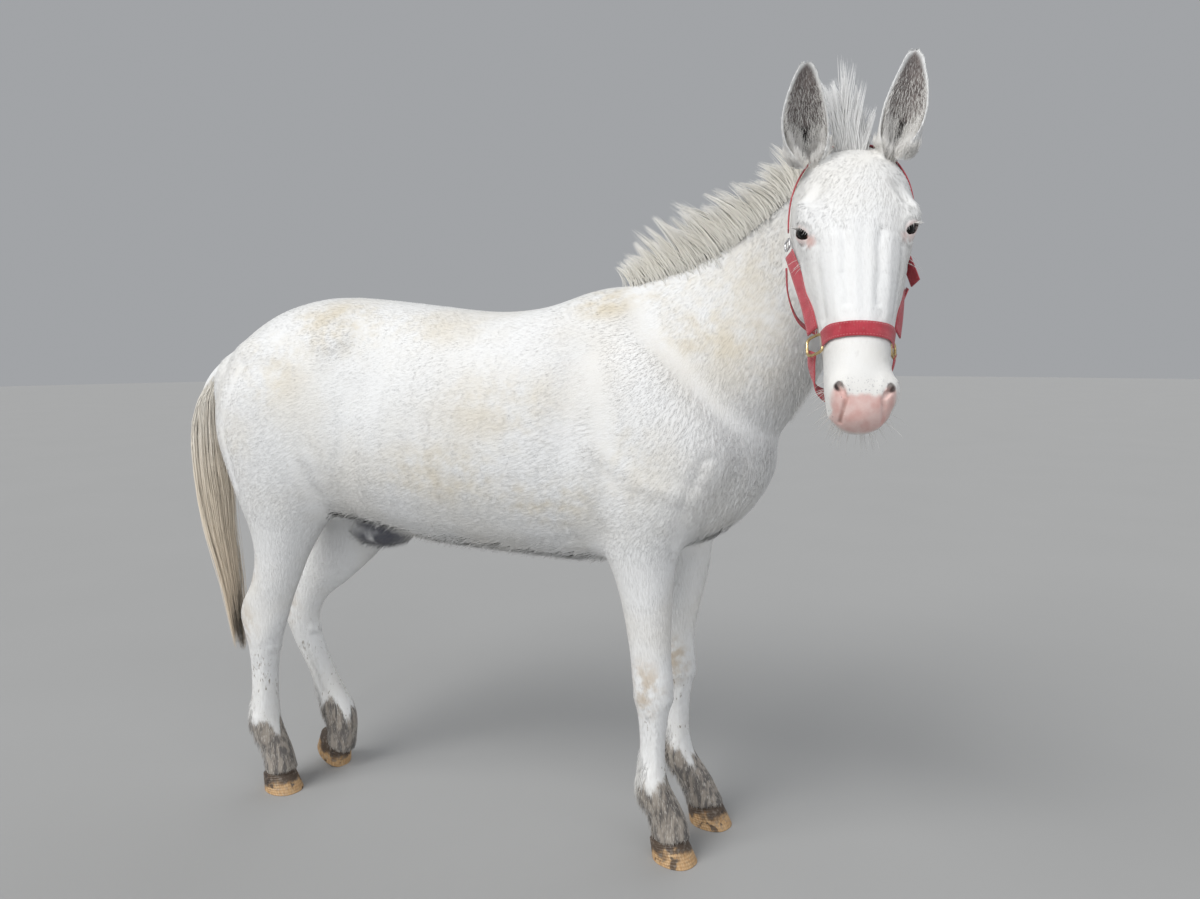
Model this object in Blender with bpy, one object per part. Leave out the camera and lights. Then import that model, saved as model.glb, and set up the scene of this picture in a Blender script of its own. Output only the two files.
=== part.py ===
"""A white mule stands with its head turned back over its right side.

Metres, +Z up, +X towards the front of the body, +Y towards the mule's left.
The flesh is lofted from a few ovals a limb, melted into one skin, then parted
with thin cuts into head, neck, torso and legs. Hooves, ears, eyes, hair and the
webbing halter are pieces of their own.
"""
import math
import random

import bmesh
import bpy
import numpy as np
from mathutils import Matrix, Vector
from mathutils.bvhtree import BVHTree

# Driving sizes of the whole animal
CROUP = 1.217
BACK = 1.178
BELLY = 0.640
HALF_BARREL = 0.208
HALF_HIPS = 0.192
HEAD_LENGTH = 0.50
EYE_RADIUS = 0.0195
GAP = 0.0003
ORIGIN = Vector((0.0694, -0.1313, 0.0))

# Where the head is held, and the ways it is turned, in degrees
POLL = Vector((0.827, -0.247, 1.428))
HEAD_YAW = -83.5
HEAD_PITCH = 60
HEAD_ROLL = -4

# How far each foreleg is set forwards at its foot, fetlock, knee and elbow
NEAR_FORE_LEADS = (0.0, 0.0, 0.0, 0.0)
FAR_FORE_LEADS = (0.047, 0.018, 0.012, 0.046)
FORE_YAW = -28
HIND_YAW = -20

# Fineness of the solids
VOXEL = 0.0085
SIDES = 24
FLESH_FACES = 4700

WHITE = (0.82, 0.80, 0.76)
HORN = (0.42, 0.30, 0.19)
HAIR = (0.72, 0.66, 0.53)
RED = (0.55, 0.025, 0.05)
BRASS = (0.72, 0.55, 0.27)
STEEL = (0.62, 0.62, 0.63)
EYE_BLACK = (0.012, 0.010, 0.012)


def clear_scene():
    for thing in list(bpy.data.objects):
        bpy.data.objects.remove(thing, do_unlink=True)


def material(name, colour, roughness=0.8, metallic=0.0):
    """The material of that name, made when it is first asked for."""
    made = bpy.data.materials.get(name)
    if made is None:
        made = bpy.data.materials.new(name)
        made.use_nodes = True
        shader = made.node_tree.nodes["Principled BSDF"]
        shader.inputs["Base Color"].default_value = (*colour, 1.0)
        shader.inputs["Roughness"].default_value = roughness
        shader.inputs["Metallic"].default_value = metallic
    return made


def turn(yaw, pitch, roll=0):
    """Axes for a long form: x along it, y to its left, z over its top."""
    return (Matrix.Rotation(math.radians(yaw), 3, "Z")
            @ Matrix.Rotation(math.radians(pitch), 3, "Y")
            @ Matrix.Rotation(math.radians(roll), 3, "X"))


HEAD_TURN = turn(HEAD_YAW, HEAD_PITCH, HEAD_ROLL)


def head_point(along, left, over):
    """A place on the head: metres from the poll to the muzzle, leftwards, and over the brow."""
    return POLL + HEAD_TURN @ Vector((along, left, over))


def curve_through(rows, steps):
    """Rows of numbers, with smooth rows between them, steps for each stretch."""
    rows = np.array(rows, float)
    rows = np.vstack([2 * rows[0] - rows[1], rows, 2 * rows[-1] - rows[-2]])
    out = []
    for i in range(1, len(rows) - 2):
        a, b, c, d = rows[i - 1:i + 3]
        for t in np.arange(steps) / steps:
            bend = (2 * a - 5 * b + 4 * c - d) * t * t + (3 * b - a - 3 * c + d) * t ** 3
            out.append(0.5 * (2 * b + (c - a) * t + bend))
    out.append(rows[-2])
    return np.array(out)


def signed_power(value, power):
    return math.copysign(abs(value) ** power, value)


def mesh_from(points, faces):
    mesh = bpy.data.meshes.new("form")
    mesh.from_pydata([tuple(p) for p in points], [], faces)
    mesh.validate()
    return mesh


def outward(mesh):
    """Turn every face outwards, and give the mesh back."""
    work = bmesh.new()
    work.from_mesh(mesh)
    bmesh.ops.recalc_face_normals(work, faces=work.faces)
    work.to_mesh(mesh)
    work.free()
    return mesh


def ring_faces(rings, sides):
    """Faces of a tube of that many rings, with both ends closed."""
    faces = [tuple(range(sides))[::-1]]
    faces.append(tuple(range((rings - 1) * sides, rings * sides)))
    for ring in range(rings - 1):
        for k in range(sides):
            after = (k + 1) % sides
            low = ring * sides
            high = low + sides
            faces.append((low + k, low + after, high + after, high + k))
    return faces


def loft(rows, sides=SIDES, steps=4):
    """A closed form through ovals, each row a top, a bottom, a half width, squareness and taper.

    The oval stands between its top and its bottom. A positive taper narrows the top.
    """
    flat = [(*top, *bottom, half, square, taper) for top, bottom, half, square, taper in rows]
    flat = curve_through(flat, steps)
    middle = (flat[:, 0:3] + flat[:, 3:6]) / 2
    run = np.gradient(middle, axis=0)
    points = []
    for row, centre, ahead in zip(flat, middle, run):
        over = (row[0:3] - row[3:6]) / 2
        across = np.cross(over, ahead)
        across /= np.linalg.norm(across)
        half, square, taper = row[6:9]
        for k in range(sides):
            angle = math.tau * k / sides
            wide = signed_power(math.cos(angle), 2 / square) * half
            high = signed_power(math.sin(angle), 2 / square)
            points.append(centre + across * wide * (1 - taper * high) + over * high)
    return outward(mesh_from(points, ring_faces(len(flat), sides)))


def limb(stations, toe_yaw, steps=4, sides=SIDES):
    """A leg that runs down: each station a height, front, rear, middle y and half width.

    Below the cannon bone it turns towards the way that the toe points, in degrees.
    """
    rows = []
    for height, front, rear, middle, half in stations:
        turned = math.radians(toe_yaw) * min(1, max(0, (0.22 - height) / 0.14))
        reach = Vector((math.cos(turned), math.sin(turned), 0)) * (front - rear) / 2
        centre = Vector(((front + rear) / 2, middle, height))
        rows.append((centre + reach, centre - reach, half, 2.1, 0.0))
    return loft(rows, sides, steps)


def lobe(centre, radii, axes=None, fineness=3):
    """A rounded mass with three radii, along the axes given."""
    work = bmesh.new()
    bmesh.ops.create_icosphere(work, subdivisions=fineness, radius=1.0)
    place = Matrix.Translation(centre) @ (axes or Matrix.Identity(3)).to_4x4()
    bmesh.ops.transform(work, matrix=place @ Matrix.Diagonal((*radii, 1)), verts=work.verts)
    mesh = bpy.data.meshes.new("lobe")
    work.to_mesh(mesh)
    work.free()
    return mesh


def head_lobe(along, left, over, radii):
    return lobe(head_point(along, left, over), radii, HEAD_TURN)


def joined(meshes):
    """One mesh that holds all of them, still as separate shells."""
    work = bmesh.new()
    for mesh in meshes:
        work.from_mesh(mesh)
    mesh = bpy.data.meshes.new("joined")
    work.to_mesh(mesh)
    work.free()
    return mesh


def link(name, mesh, finish=None):
    thing = bpy.data.objects.new(name, mesh)
    bpy.context.scene.collection.objects.link(thing)
    if finish:
        mesh.materials.clear()
        mesh.materials.append(finish)
    return thing


def drop(thing):
    bpy.data.objects.remove(thing, do_unlink=True)


def bake(thing):
    """The mesh that an object has once its modifiers are applied."""
    seen = thing.evaluated_get(bpy.context.evaluated_depsgraph_get())
    mesh = bpy.data.meshes.new_from_object(seen)
    drop(thing)
    return mesh


def melted(meshes, voxel):
    """Forms that overlap, melted into one skin."""
    thing = link("melt", joined(meshes))
    remesh = thing.modifiers.new("melt", "REMESH")
    remesh.mode = "VOXEL"
    remesh.voxel_size = voxel
    remesh.adaptivity = 0.0
    return bake(thing)


def surfaces(work):
    """The faces of an open mesh, in sets that hang together by their edges, largest first."""
    left = set(work.faces)
    found = []
    while left:
        seed = min(left, key=lambda f: f.index)
        left.discard(seed)
        shell = {seed}
        todo = [seed]
        while todo:
            for edge in todo.pop().edges:
                for face in edge.link_faces:
                    if face in left:
                        left.discard(face)
                        shell.add(face)
                        todo.append(face)
        found.append(shell)
    return sorted(found, key=len, reverse=True)


def only(mesh, number):
    """One of a mesh's closed surfaces, as a mesh of its own."""
    work = bmesh.new()
    work.from_mesh(mesh)
    keep = surfaces(work)[number]
    bmesh.ops.delete(work, geom=[f for f in work.faces if f not in keep], context="FACES")
    made = bpy.data.meshes.new("surface")
    work.to_mesh(made)
    work.free()
    return made


def largest(mesh):
    return only(mesh, 0)


def boolean(mesh, others, operation, solver="EXACT"):
    """Join a mesh with the others, or cut them out of it, and keep one closed surface."""
    thing = link("base", mesh)
    group = bpy.data.collections.new("others")
    cutters = []
    for other in others:
        cutter = bpy.data.objects.new("other", other)
        cutter.hide_render = True
        cutter.display_type = "WIRE"
        group.objects.link(cutter)
        cutters.append(cutter)
    bpy.context.scene.collection.children.link(group)
    step = thing.modifiers.new("boolean", "BOOLEAN")
    step.operation = operation
    step.solver = solver
    step.operand_type = "COLLECTION"
    step.collection = group
    mesh = bake(thing)
    for cutter in cutters:
        drop(cutter)
    bpy.data.collections.remove(group)
    return mesh


# The trunk, from the buttocks to the chest


def trunk():
    """Ovals along x: top, bottom, half width and taper."""
    stations = [
        (-0.652, 1.030, 0.880, 0.030, 0.0),
        (-0.630, 1.084, 0.820, 0.085, 0.0),
        (-0.570, 1.138, 0.760, 0.135, 0.0),
        (-0.480, 1.188, 0.720, 0.172, 0.05),
        (-0.380, 1.214, 0.700, HALF_HIPS, 0.10),
        (-0.290, CROUP, 0.690, HALF_HIPS, 0.12),
        (-0.187, 1.207, 0.672, 0.196, 0.10),
        (-0.080, 1.194, 0.650, 0.203, 0.06),
        (0.064, BACK, BELLY, HALF_BARREL, 0.04),
        (0.180, 1.186, 0.634, 0.203, 0.08),
        (0.290, 1.219, 0.632, 0.186, 0.22),
        (0.370, 1.228, 0.642, 0.172, 0.26),
        (0.460, 1.180, 0.662, 0.160, 0.15),
        (0.550, 1.100, 0.695, 0.150, 0.05),
        (0.620, 1.030, 0.745, 0.125, 0.0),
        (0.662, 0.980, 0.805, 0.080, 0.0),
        (0.680, 0.940, 0.850, 0.030, 0.0),
    ]
    rows = [((x, 0, top), (x, 0, low), half, 2.15, taper) for x, top, low, half, taper in stations]
    return loft(rows, sides=32)


def trunk_masses():
    """Point of hip, buttock, shoulder and breast, on both sides."""
    forms = []
    for side in (-1, 1):
        forms.append(lobe((-0.285, side * 0.094, 1.092), (0.120, 0.070, 0.075)))
        forms.append(lobe((-0.440, side * 0.090, 1.050), (0.150, 0.080, 0.095)))
        forms.append(lobe((-0.588, side * 0.072, 0.995), (0.058, 0.058, 0.100)))
        forms.append(lobe((0.590, side * 0.068, 0.860), (0.068, 0.056, 0.082)))
    forms.append(lobe((-0.255, 0, 0.660), (0.095, 0.040, 0.038)))
    return forms


# The neck bends from the withers to the poll


def neck():
    """Each oval stands from the throat to the crest."""
    rows = [
        ((0.300, 0.000, 1.205), (0.560, 0.000, 0.800), 0.125, 2.1, 0.25),
        ((0.400, 0.000, 1.238), (0.672, 0.000, 0.900), 0.122, 2.1, 0.30),
        ((0.500, -0.008, 1.264), (0.728, -0.020, 0.980), 0.104, 2.1, 0.32),
        ((0.590, -0.036, 1.305), (0.775, -0.050, 1.060), 0.090, 2.1, 0.30),
        ((0.668, -0.090, 1.350), (0.806, -0.080, 1.115), 0.081, 2.1, 0.25),
        ((0.738, -0.146, 1.392), (0.820, -0.108, 1.168), 0.078, 2.1, 0.18),
        ((0.788, -0.198, 1.412), (0.830, -0.140, 1.200), 0.077, 2.1, 0.10),
        ((0.822, -0.240, 1.414), (0.840, -0.190, 1.215), 0.072, 2.1, 0.0),
    ]
    return loft(rows, sides=28)


# The head, in its own frame from the poll to the muzzle


def skull():
    """Along the head: brow line, jaw line, half width, squareness and taper."""
    stations = [
        (-0.030, -0.026, -0.130, 0.056, 2.2, 0.0),
        (0.000, 0.000, -0.160, 0.080, 2.2, 0.0),
        (0.045, 0.019, -0.190, 0.097, 2.3, -0.05),
        (0.090, 0.028, -0.208, 0.102, 2.3, -0.08),
        (0.140, 0.032, -0.212, 0.098, 2.4, -0.14),
        (0.195, 0.029, -0.199, 0.083, 2.4, -0.20),
        (0.250, 0.023, -0.174, 0.070, 2.4, -0.20),
        (0.305, 0.015, -0.146, 0.061, 2.4, -0.12),
        (0.360, 0.008, -0.122, 0.053, 2.3, 0.0),
        (0.412, 0.003, -0.107, 0.052, 2.2, 0.05),
        (0.454, -0.006, -0.098, 0.052, 2.2, 0.05),
        (0.486, -0.020, -0.090, 0.043, 2.1, 0.0),
        (HEAD_LENGTH + 0.003, -0.042, -0.078, 0.020, 2.0, 0.0),
    ]
    rows = []
    for along, top, low, half, square, taper in stations:
        rows.append((head_point(along, 0, top), head_point(along, 0, low), half, square, taper))
    return loft(rows, sides=28)


# How far the muzzle is pushed to the mule's left
MUZZLE_SHIFT = 0.003


def head_masses():
    """Cheeks, orbits, nostril wings, lips and chin."""
    forms = []
    for side in (-1, 1):
        forms.append(head_lobe(0.122, side * 0.056, -0.112, (0.080, 0.034, 0.076)))
        forms.append(head_lobe(0.134, side * 0.0755, -0.010, (0.044, 0.027, 0.024)))
        forms.append(head_lobe(0.215, side * 0.062, -0.055, (0.066, 0.020, 0.022)))
        forms.append(head_lobe(0.441, side * 0.037 + MUZZLE_SHIFT, -0.036, (0.034, 0.021, 0.034)))
        forms.append(head_lobe(0.463, side * 0.020, -0.062, (0.029, 0.024, 0.026)))
    forms.append(head_lobe(0.465, 0, -0.048, (0.039, 0.034, 0.038)))
    forms.append(head_lobe(0.446, 0, -0.104, (0.034, 0.028, 0.018)))
    forms.append(head_lobe(0.415, 0, -0.112, (0.022, 0.024, 0.017)))
    return forms


# The legs, each from inside the trunk to just below its coronet


def fore_leg(side, leads):
    """A foreleg from inside the shoulder. leads move it forwards at the foot, fetlock, knee, elbow."""
    stations = [
        (1.130, 0.420, 0.300, 0.070, 0.034),
        (1.050, 0.510, 0.298, 0.096, 0.062),
        (0.950, 0.600, 0.300, 0.107, 0.076),
        (0.870, 0.625, 0.300, 0.108, 0.080),
        (0.790, 0.580, 0.302, 0.106, 0.077),
        (0.720, 0.528, 0.318, 0.100, 0.068),
        (0.660, 0.492, 0.338, 0.095, 0.058),
        (0.600, 0.484, 0.358, 0.091, 0.051),
        (0.520, 0.479, 0.375, 0.088, 0.043),
        (0.440, 0.478, 0.386, 0.087, 0.038),
        (0.395, 0.483, 0.390, 0.087, 0.040),
        (0.355, 0.482, 0.394, 0.087, 0.039),
        (0.315, 0.472, 0.402, 0.087, 0.032),
        (0.260, 0.467, 0.406, 0.087, 0.026),
        (0.205, 0.467, 0.404, 0.087, 0.027),
        (0.165, 0.474, 0.398, 0.087, 0.034),
        (0.130, 0.494, 0.402, 0.085, 0.034),
        (0.095, 0.512, 0.422, 0.083, 0.033),
        (0.060, 0.521, 0.432, 0.082, 0.037),
        (0.030, 0.528, 0.435, 0.084, 0.038),
    ]
    moved = []
    for height, front, rear, middle, half in stations:
        shift = np.interp(height, (0.03, 0.18, 0.42, 0.62, 0.95), (*leads, 0.0))
        moved.append((height, front + shift, rear + shift, side * middle, half))
    return limb(moved, FORE_YAW)


def near_hind_leg():
    """The right hind leg stands under the body."""
    return limb([
        (1.060, -0.320, -0.580, -0.085, 0.080),
        (0.990, -0.272, -0.615, -0.094, 0.098),
        (0.900, -0.250, -0.620, -0.098, 0.100),
        (0.820, -0.262, -0.598, -0.098, 0.094),
        (0.740, -0.312, -0.572, -0.096, 0.080),
        (0.680, -0.355, -0.552, -0.093, 0.066),
        (0.610, -0.402, -0.545, -0.090, 0.052),
        (0.540, -0.435, -0.564, -0.087, 0.043),
        (0.490, -0.458, -0.596, -0.083, 0.038),
        (0.450, -0.474, -0.608, -0.080, 0.037),
        (0.410, -0.492, -0.600, -0.077, 0.038),
        (0.370, -0.508, -0.592, -0.074, 0.036),
        (0.320, -0.518, -0.592, -0.071, 0.031),
        (0.260, -0.524, -0.596, -0.068, 0.030),
        (0.200, -0.526, -0.607, -0.065, 0.032),
        (0.165, -0.523, -0.613, -0.063, 0.036),
        (0.130, -0.508, -0.600, -0.062, 0.035),
        (0.095, -0.492, -0.584, -0.061, 0.034),
        (0.060, -0.486, -0.576, -0.061, 0.037),
        (0.030, -0.476, -0.570, -0.061, 0.038),
    ], HIND_YAW)


def far_hind_leg():
    """The left hind leg is bent forwards, resting on its toe."""
    rows = [
        ((-0.320, 0.085, 1.060), (-0.580, 0.085, 1.060), 0.080),
        ((-0.255, 0.094, 0.990), (-0.615, 0.094, 0.990), 0.098),
        ((-0.215, 0.098, 0.900), (-0.600, 0.098, 0.900), 0.100),
        ((-0.200, 0.100, 0.810), (-0.550, 0.100, 0.830), 0.094),
        ((-0.225, 0.098, 0.720), (-0.500, 0.098, 0.770), 0.080),
        ((-0.270, 0.094, 0.640), (-0.480, 0.094, 0.705), 0.066),
        ((-0.340, 0.090, 0.565), (-0.485, 0.090, 0.640), 0.052),
        ((-0.415, 0.086, 0.500), (-0.520, 0.086, 0.578), 0.043),
        ((-0.475, 0.084, 0.455), (-0.580, 0.084, 0.520), 0.037),
        ((-0.500, 0.082, 0.410), (-0.612, 0.082, 0.445), 0.036),
        ((-0.500, 0.080, 0.370), (-0.594, 0.080, 0.385), 0.034),
        ((-0.485, 0.079, 0.325), (-0.570, 0.079, 0.325), 0.031),
        ((-0.460, 0.078, 0.270), (-0.536, 0.078, 0.262), 0.029),
        ((-0.432, 0.078, 0.215), (-0.512, 0.078, 0.198), 0.031),
        ((-0.406, 0.077, 0.170), (-0.498, 0.079, 0.150), 0.035),
        ((-0.398, 0.073, 0.130), (-0.484, 0.085, 0.112), 0.034),
        ((-0.402, 0.069, 0.095), (-0.484, 0.091, 0.082), 0.034),
        ((-0.408, 0.066, 0.062), (-0.492, 0.096, 0.068), 0.037),
        ((-0.420, 0.066, 0.030), (-0.500, 0.098, 0.045), 0.037),
    ]
    return loft([(front, rear, half, 2.1, 0.0) for front, rear, half in rows])


# Melting and smoothing the flesh


def slender(point):
    """How much smoothing a place takes: little on the lower legs and the head."""
    low = min(1, max(0, (point.z - 0.45) / 0.25))
    near_head = min(1, max(0, ((point - POLL).length - 0.12) / 0.2))
    return 0.25 + 0.75 * min(low, near_head)


def smoothed(mesh, rounds):
    """Even out the joins between the forms."""
    thing = link("smooth", mesh)
    group = thing.vertex_groups.new(name="soft")
    for vertex in mesh.vertices:
        group.add([vertex.index], slender(vertex.co), "REPLACE")
    step = thing.modifiers.new("smooth", "SMOOTH")
    step.factor = 0.5
    step.iterations = rounds
    step.vertex_group = group.name
    return bake(thing)


def thinned(mesh, faces):
    """Fewer triangles, kept densest on the head."""
    thing = link("thin", mesh)
    group = thing.vertex_groups.new(name="keep")
    for vertex in mesh.vertices:
        near_head = min(1, max(0, ((vertex.co - head_point(0.26, 0, -0.05)).length - 0.28) / 0.1))
        group.add([vertex.index], 0.25 + 0.75 * near_head, "REPLACE")
    step = thing.modifiers.new("thin", "DECIMATE")
    step.ratio = faces / (2 * len(mesh.polygons))
    step.vertex_group = group.name
    step.vertex_group_factor = 0.0004
    step.use_collapse_triangulate = True
    return bake(thing)


def flesh():
    """The whole body without ears, hooves and hair, as one closed skin."""
    forms = [trunk(), neck(), skull(), near_hind_leg(), far_hind_leg()]
    forms += [fore_leg(-1, NEAR_FORE_LEADS), fore_leg(1, FAR_FORE_LEADS)]
    forms += trunk_masses() + head_masses()
    return smoothed(melted(forms, VOXEL), 22)


# Cuts that part the body, each a thin plate


def blade(path, across, thick=GAP):
    """A thin sheet along a path, as wide to either side as the vector across."""
    path = [Vector(p) for p in path]
    across = Vector(across)
    last = len(path) - 1
    points = []
    for i, here in enumerate(path):
        ahead = path[min(i + 1, last)] - path[max(i - 1, 0)]
        off = ahead.cross(across).normalized() * thick / 2
        points += [here + across + off, here + across - off, here - across - off, here - across + off]
    return outward(mesh_from(points, ring_faces(len(path), 4)))


# Crest and throat where head and neck part, and the way that the neck runs there
NAPE = Vector((0.733, -0.137, 1.389))
THROAT = Vector((0.815, -0.099, 1.165))
NECK_RUN = Vector((0.47, -0.84, 0.28))


def parting_blades():
    """Neck base, throat, tops of the legs, knees and hocks."""
    height = NAPE - THROAT
    blades = [
        blade([(0.329, 0, 1.302), (0.751, 0, 0.848)], (0, 0.250, 0)),
        blade([THROAT - height * 0.3, NAPE + height * 0.3], NECK_RUN.cross(height).normalized() * 0.15),
        blade([(-0.595, -0.092, 0.660), (-0.345, -0.092, 0.660)], (0, 0.082, 0)),
        blade([(-0.630, -0.074, 0.375), (-0.470, -0.074, 0.375)], (0, 0.060, 0)),
        blade([(-0.505, 0.096, 0.681), (-0.283, 0.096, 0.591)], (0, 0.086, 0)),
        blade([(-0.635, 0.080, 0.360), (-0.455, 0.080, 0.360)], (0, 0.060, 0)),
    ]
    for side in (-1, 1):
        blades.append(blade([(0.305, side * 0.090, 0.615), (0.565, side * 0.090, 0.615)], (0, 0.080, 0)))
        blades.append(blade([(0.360, side * 0.088, 0.312), (0.530, side * 0.088, 0.312)], (0, 0.060, 0)))
    return blades


# A point inside each piece of the body, by which the parted pieces get their names
SEEDS = {
    "torso": (0.00, 0.00, 0.93),
    "neck": (0.66, -0.04, 1.17),
    "head": (0.84, -0.36, 1.22),
    "foreleg_right_upper": (0.43, -0.09, 0.46),
    "foreleg_left_upper": (0.45, 0.09, 0.46),
    "foreleg_right_lower": (0.45, -0.09, 0.20),
    "foreleg_left_lower": (0.47, 0.09, 0.20),
    "hindleg_right_upper": (-0.50, -0.09, 0.52),
    "hindleg_left_upper": (-0.46, 0.09, 0.50),
    "hindleg_right_lower": (-0.55, -0.07, 0.20),
    "hindleg_left_lower": (-0.49, 0.08, 0.20),
}


def loose_pieces(mesh):
    """Each closed surface of a mesh as a mesh of its own, with its middle."""
    work = bmesh.new()
    work.from_mesh(mesh)
    count = len(surfaces(work))
    work.free()
    pieces = []
    for number in range(count):
        piece = only(mesh, number)
        middle = sum((v.co for v in piece.vertices), Vector()) / len(piece.vertices)
        pieces.append((middle, piece))
    return pieces


def parted(mesh):
    """The body's pieces by name. Of the scraps nearest to one seed only the largest stays."""
    found = {}
    for middle, piece in loose_pieces(boolean(mesh, [joined(parting_blades())], "DIFFERENCE")):
        name = min(SEEDS, key=lambda n: (Vector(SEEDS[n]) - middle).length)
        if name not in found or len(piece.polygons) > len(found[name].polygons):
            found[name] = piece
    return found


# Hooves stand on flat soles

HOOF_LENGTH = 0.108
HOOF_WIDTH = 0.086
TOE_HEIGHT = 0.060
HEEL_HEIGHT = 0.034
CORONET_SHARE = 0.80
CORONET_BACK = 0.020
TIPTOE = 36
HOOF_SIDES = 24


class Foot:
    """Where a hoof stands, the way its toe points, and how far it is tipped onto its toe."""

    def __init__(self, x, y, yaw, tip=0):
        self.turn = turn(yaw, tip)
        self.tip = tip
        toe = Vector((x, y, 0))
        if tip:
            self.middle = toe - self.turn @ Vector((HOOF_LENGTH / 2, 0, 0.003))
        else:
            self.middle = toe

    def place(self, point):
        return self.middle + self.turn @ Vector(point)

    def level(self, x, share):
        """Height of the wall above the sole, at a share of the way to the coronet."""
        return share * (HEEL_HEIGHT + (TOE_HEIGHT - HEEL_HEIGHT) * (0.5 + x / HOOF_LENGTH))

    def wall_point(self, angle, share):
        size = 1 - (1 - CORONET_SHARE) * share
        heel = 1.0 if math.cos(angle) > 0 else 0.84
        x = math.cos(angle) * HOOF_LENGTH / 2 * size * heel
        y = math.copysign(abs(math.sin(angle)) ** 0.85, math.sin(angle)) * HOOF_WIDTH / 2 * size
        z = self.level(x - CORONET_BACK * share, share)
        return self.place((x - CORONET_BACK * share, y, z))

    def hoof(self):
        shares = (0.0, 0.12, 0.55, 1.0)
        turns = [math.tau * k / HOOF_SIDES for k in range(HOOF_SIDES)]
        points = [self.wall_point(angle, share) for share in shares for angle in turns]
        mesh = outward(mesh_from(points, ring_faces(len(shares), HOOF_SIDES)))
        if self.tip:
            mesh = cut_flat(mesh, 0.0)
        return mesh

    def coronet_cutter(self):
        """A block under the coronet, which ends the flesh just above the wall."""
        half = HOOF_LENGTH * 0.75
        points = []
        for top in (0, 1):
            for x, y in ((-half, -half), (half, -half), (half, half), (-half, half)):
                lift = self.level(x, 1) + GAP if top else -0.06
                points.append(self.place((x, y, lift)))
        return outward(mesh_from(points, ring_faces(2, 4)))


def cut_flat(mesh, height):
    """Take off what is below a height, and close the mesh there."""
    work = bmesh.new()
    work.from_mesh(mesh)
    whole = work.verts[:] + work.edges[:] + work.faces[:]
    cut = bmesh.ops.bisect_plane(work, geom=whole, plane_co=(0, 0, height), plane_no=(0, 0, 1),
                                 clear_inner=True)
    rim = [part for part in cut["geom_cut"] if isinstance(part, bmesh.types.BMEdge)]
    bmesh.ops.edgeloop_fill(work, edges=rim)
    bmesh.ops.recalc_face_normals(work, faces=work.faces)
    work.to_mesh(mesh)
    work.free()
    return mesh


FEET = {
    "foreleg_right": Foot(0.482, -0.084, FORE_YAW),
    "foreleg_left": Foot(0.530, 0.085, FORE_YAW),
    "hindleg_right": Foot(-0.526, -0.062, HIND_YAW),
    "hindleg_left": Foot(-0.443, 0.082, HIND_YAW, TIPTOE),
}


# The eyes, their lids, the nostrils and the mouth

EYE_PLACE = {-1: (0.160, -0.0755, -0.024), 1: (0.156, 0.0695, -0.016)}
EYE_OUT = {-1: Vector((0.38, -0.80, 0.46)), 1: Vector((0.36, 0.70, 0.62))}
LID = 0.0042
LID_OPEN = 0.0095
LID_WIDTH = 0.0185


def eye_axes(side):
    """Axes of an eye: x along the slit, y out of the socket, z towards the brow."""
    out = EYE_OUT[side].normalized()
    slit = Vector((0.66, side * -0.585, 0.47))
    slit = (slit - out * slit.dot(out)).normalized()
    brow = slit.cross(out) if side > 0 else out.cross(slit)
    return HEAD_TURN @ Matrix((slit, out, brow)).transposed()


def eye_middle(side):
    return head_point(*EYE_PLACE[side])


def ball(centre, radius, segments=16, rings=10):
    work = bmesh.new()
    bmesh.ops.create_uvsphere(work, u_segments=segments, v_segments=rings, radius=radius)
    bmesh.ops.transform(work, matrix=Matrix.Translation(centre), verts=work.verts)
    mesh = bpy.data.meshes.new("ball")
    work.to_mesh(mesh)
    work.free()
    return mesh


def lid_opening(side):
    """An almond shaped prism that parts the lids."""
    axes = eye_axes(side)
    sides = 14
    points = []
    for out in (0.004, 0.045):
        for k in range(sides):
            angle = math.tau * k / sides
            x = math.cos(angle) * LID_WIDTH
            z = math.copysign(abs(math.sin(angle)) ** 1.3, math.sin(angle)) * LID_OPEN
            points.append(eye_middle(side) + axes @ Vector((x, out, z)))
    return outward(mesh_from(points, ring_faces(2, sides)))


# A nostril's slit in the head's frame: its top, bend and low end, and its outward side
SLIT_TOP = Vector((0.444, 0.038, -0.012))
SLIT_BEND = Vector((0.464, 0.027, -0.015))
SLIT_LOW = Vector((0.484, 0.028, -0.048))
SLIT_SHIFT = Vector((0, MUZZLE_SHIFT, 0))
SLIT_OUT = Vector((0.75, 0.40, 0.45))


def nostril_cutters(side):
    """A comma: a slit that bends down the front of the muzzle, with a deeper hollow at its top."""
    mirror = Matrix.Diagonal((1, side, 1))
    lobes = []
    for start, end in ((SLIT_TOP, SLIT_BEND), (SLIT_BEND, SLIT_LOW)):
        run = (end - start).normalized()
        out = (SLIT_OUT - run * SLIT_OUT.dot(run)).normalized()
        axes = HEAD_TURN @ mirror @ Matrix((run, out, run.cross(out))).transposed()
        middle = mirror @ ((start + end) / 2) + SLIT_SHIFT
        lobes.append(lobe(head_point(*middle), ((end - start).length * 0.62, 0.011, 0.0048), axes, 2))
        if not lobes[1:]:
            hollow = mirror @ (start + run * 0.003) + SLIT_SHIFT
            lobes.append(lobe(head_point(*hollow), (0.011, 0.016, 0.0065), axes, 2))
    return lobes


def mouth_cutter():
    """A thin wedge round the muzzle that parts the lips."""
    points = []
    turns = [math.radians(a) for a in range(-112, 113, 16)]
    for angle in turns:
        line = -0.073 - 0.007 * (1 - math.cos(angle))
        for ahead, aside, half in ((0.078, 0.078, 0.0026), (0.042, 0.034, 0.0003)):
            for over in (line + half, line - half):
                points.append(head_point(0.440 + ahead * math.cos(angle), aside * math.sin(angle), over))
    order = [i + k for i in range(0, len(points), 4) for k in (0, 1, 3, 2)]
    return outward(mesh_from([points[i] for i in order], ring_faces(len(turns), 4)))


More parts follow.
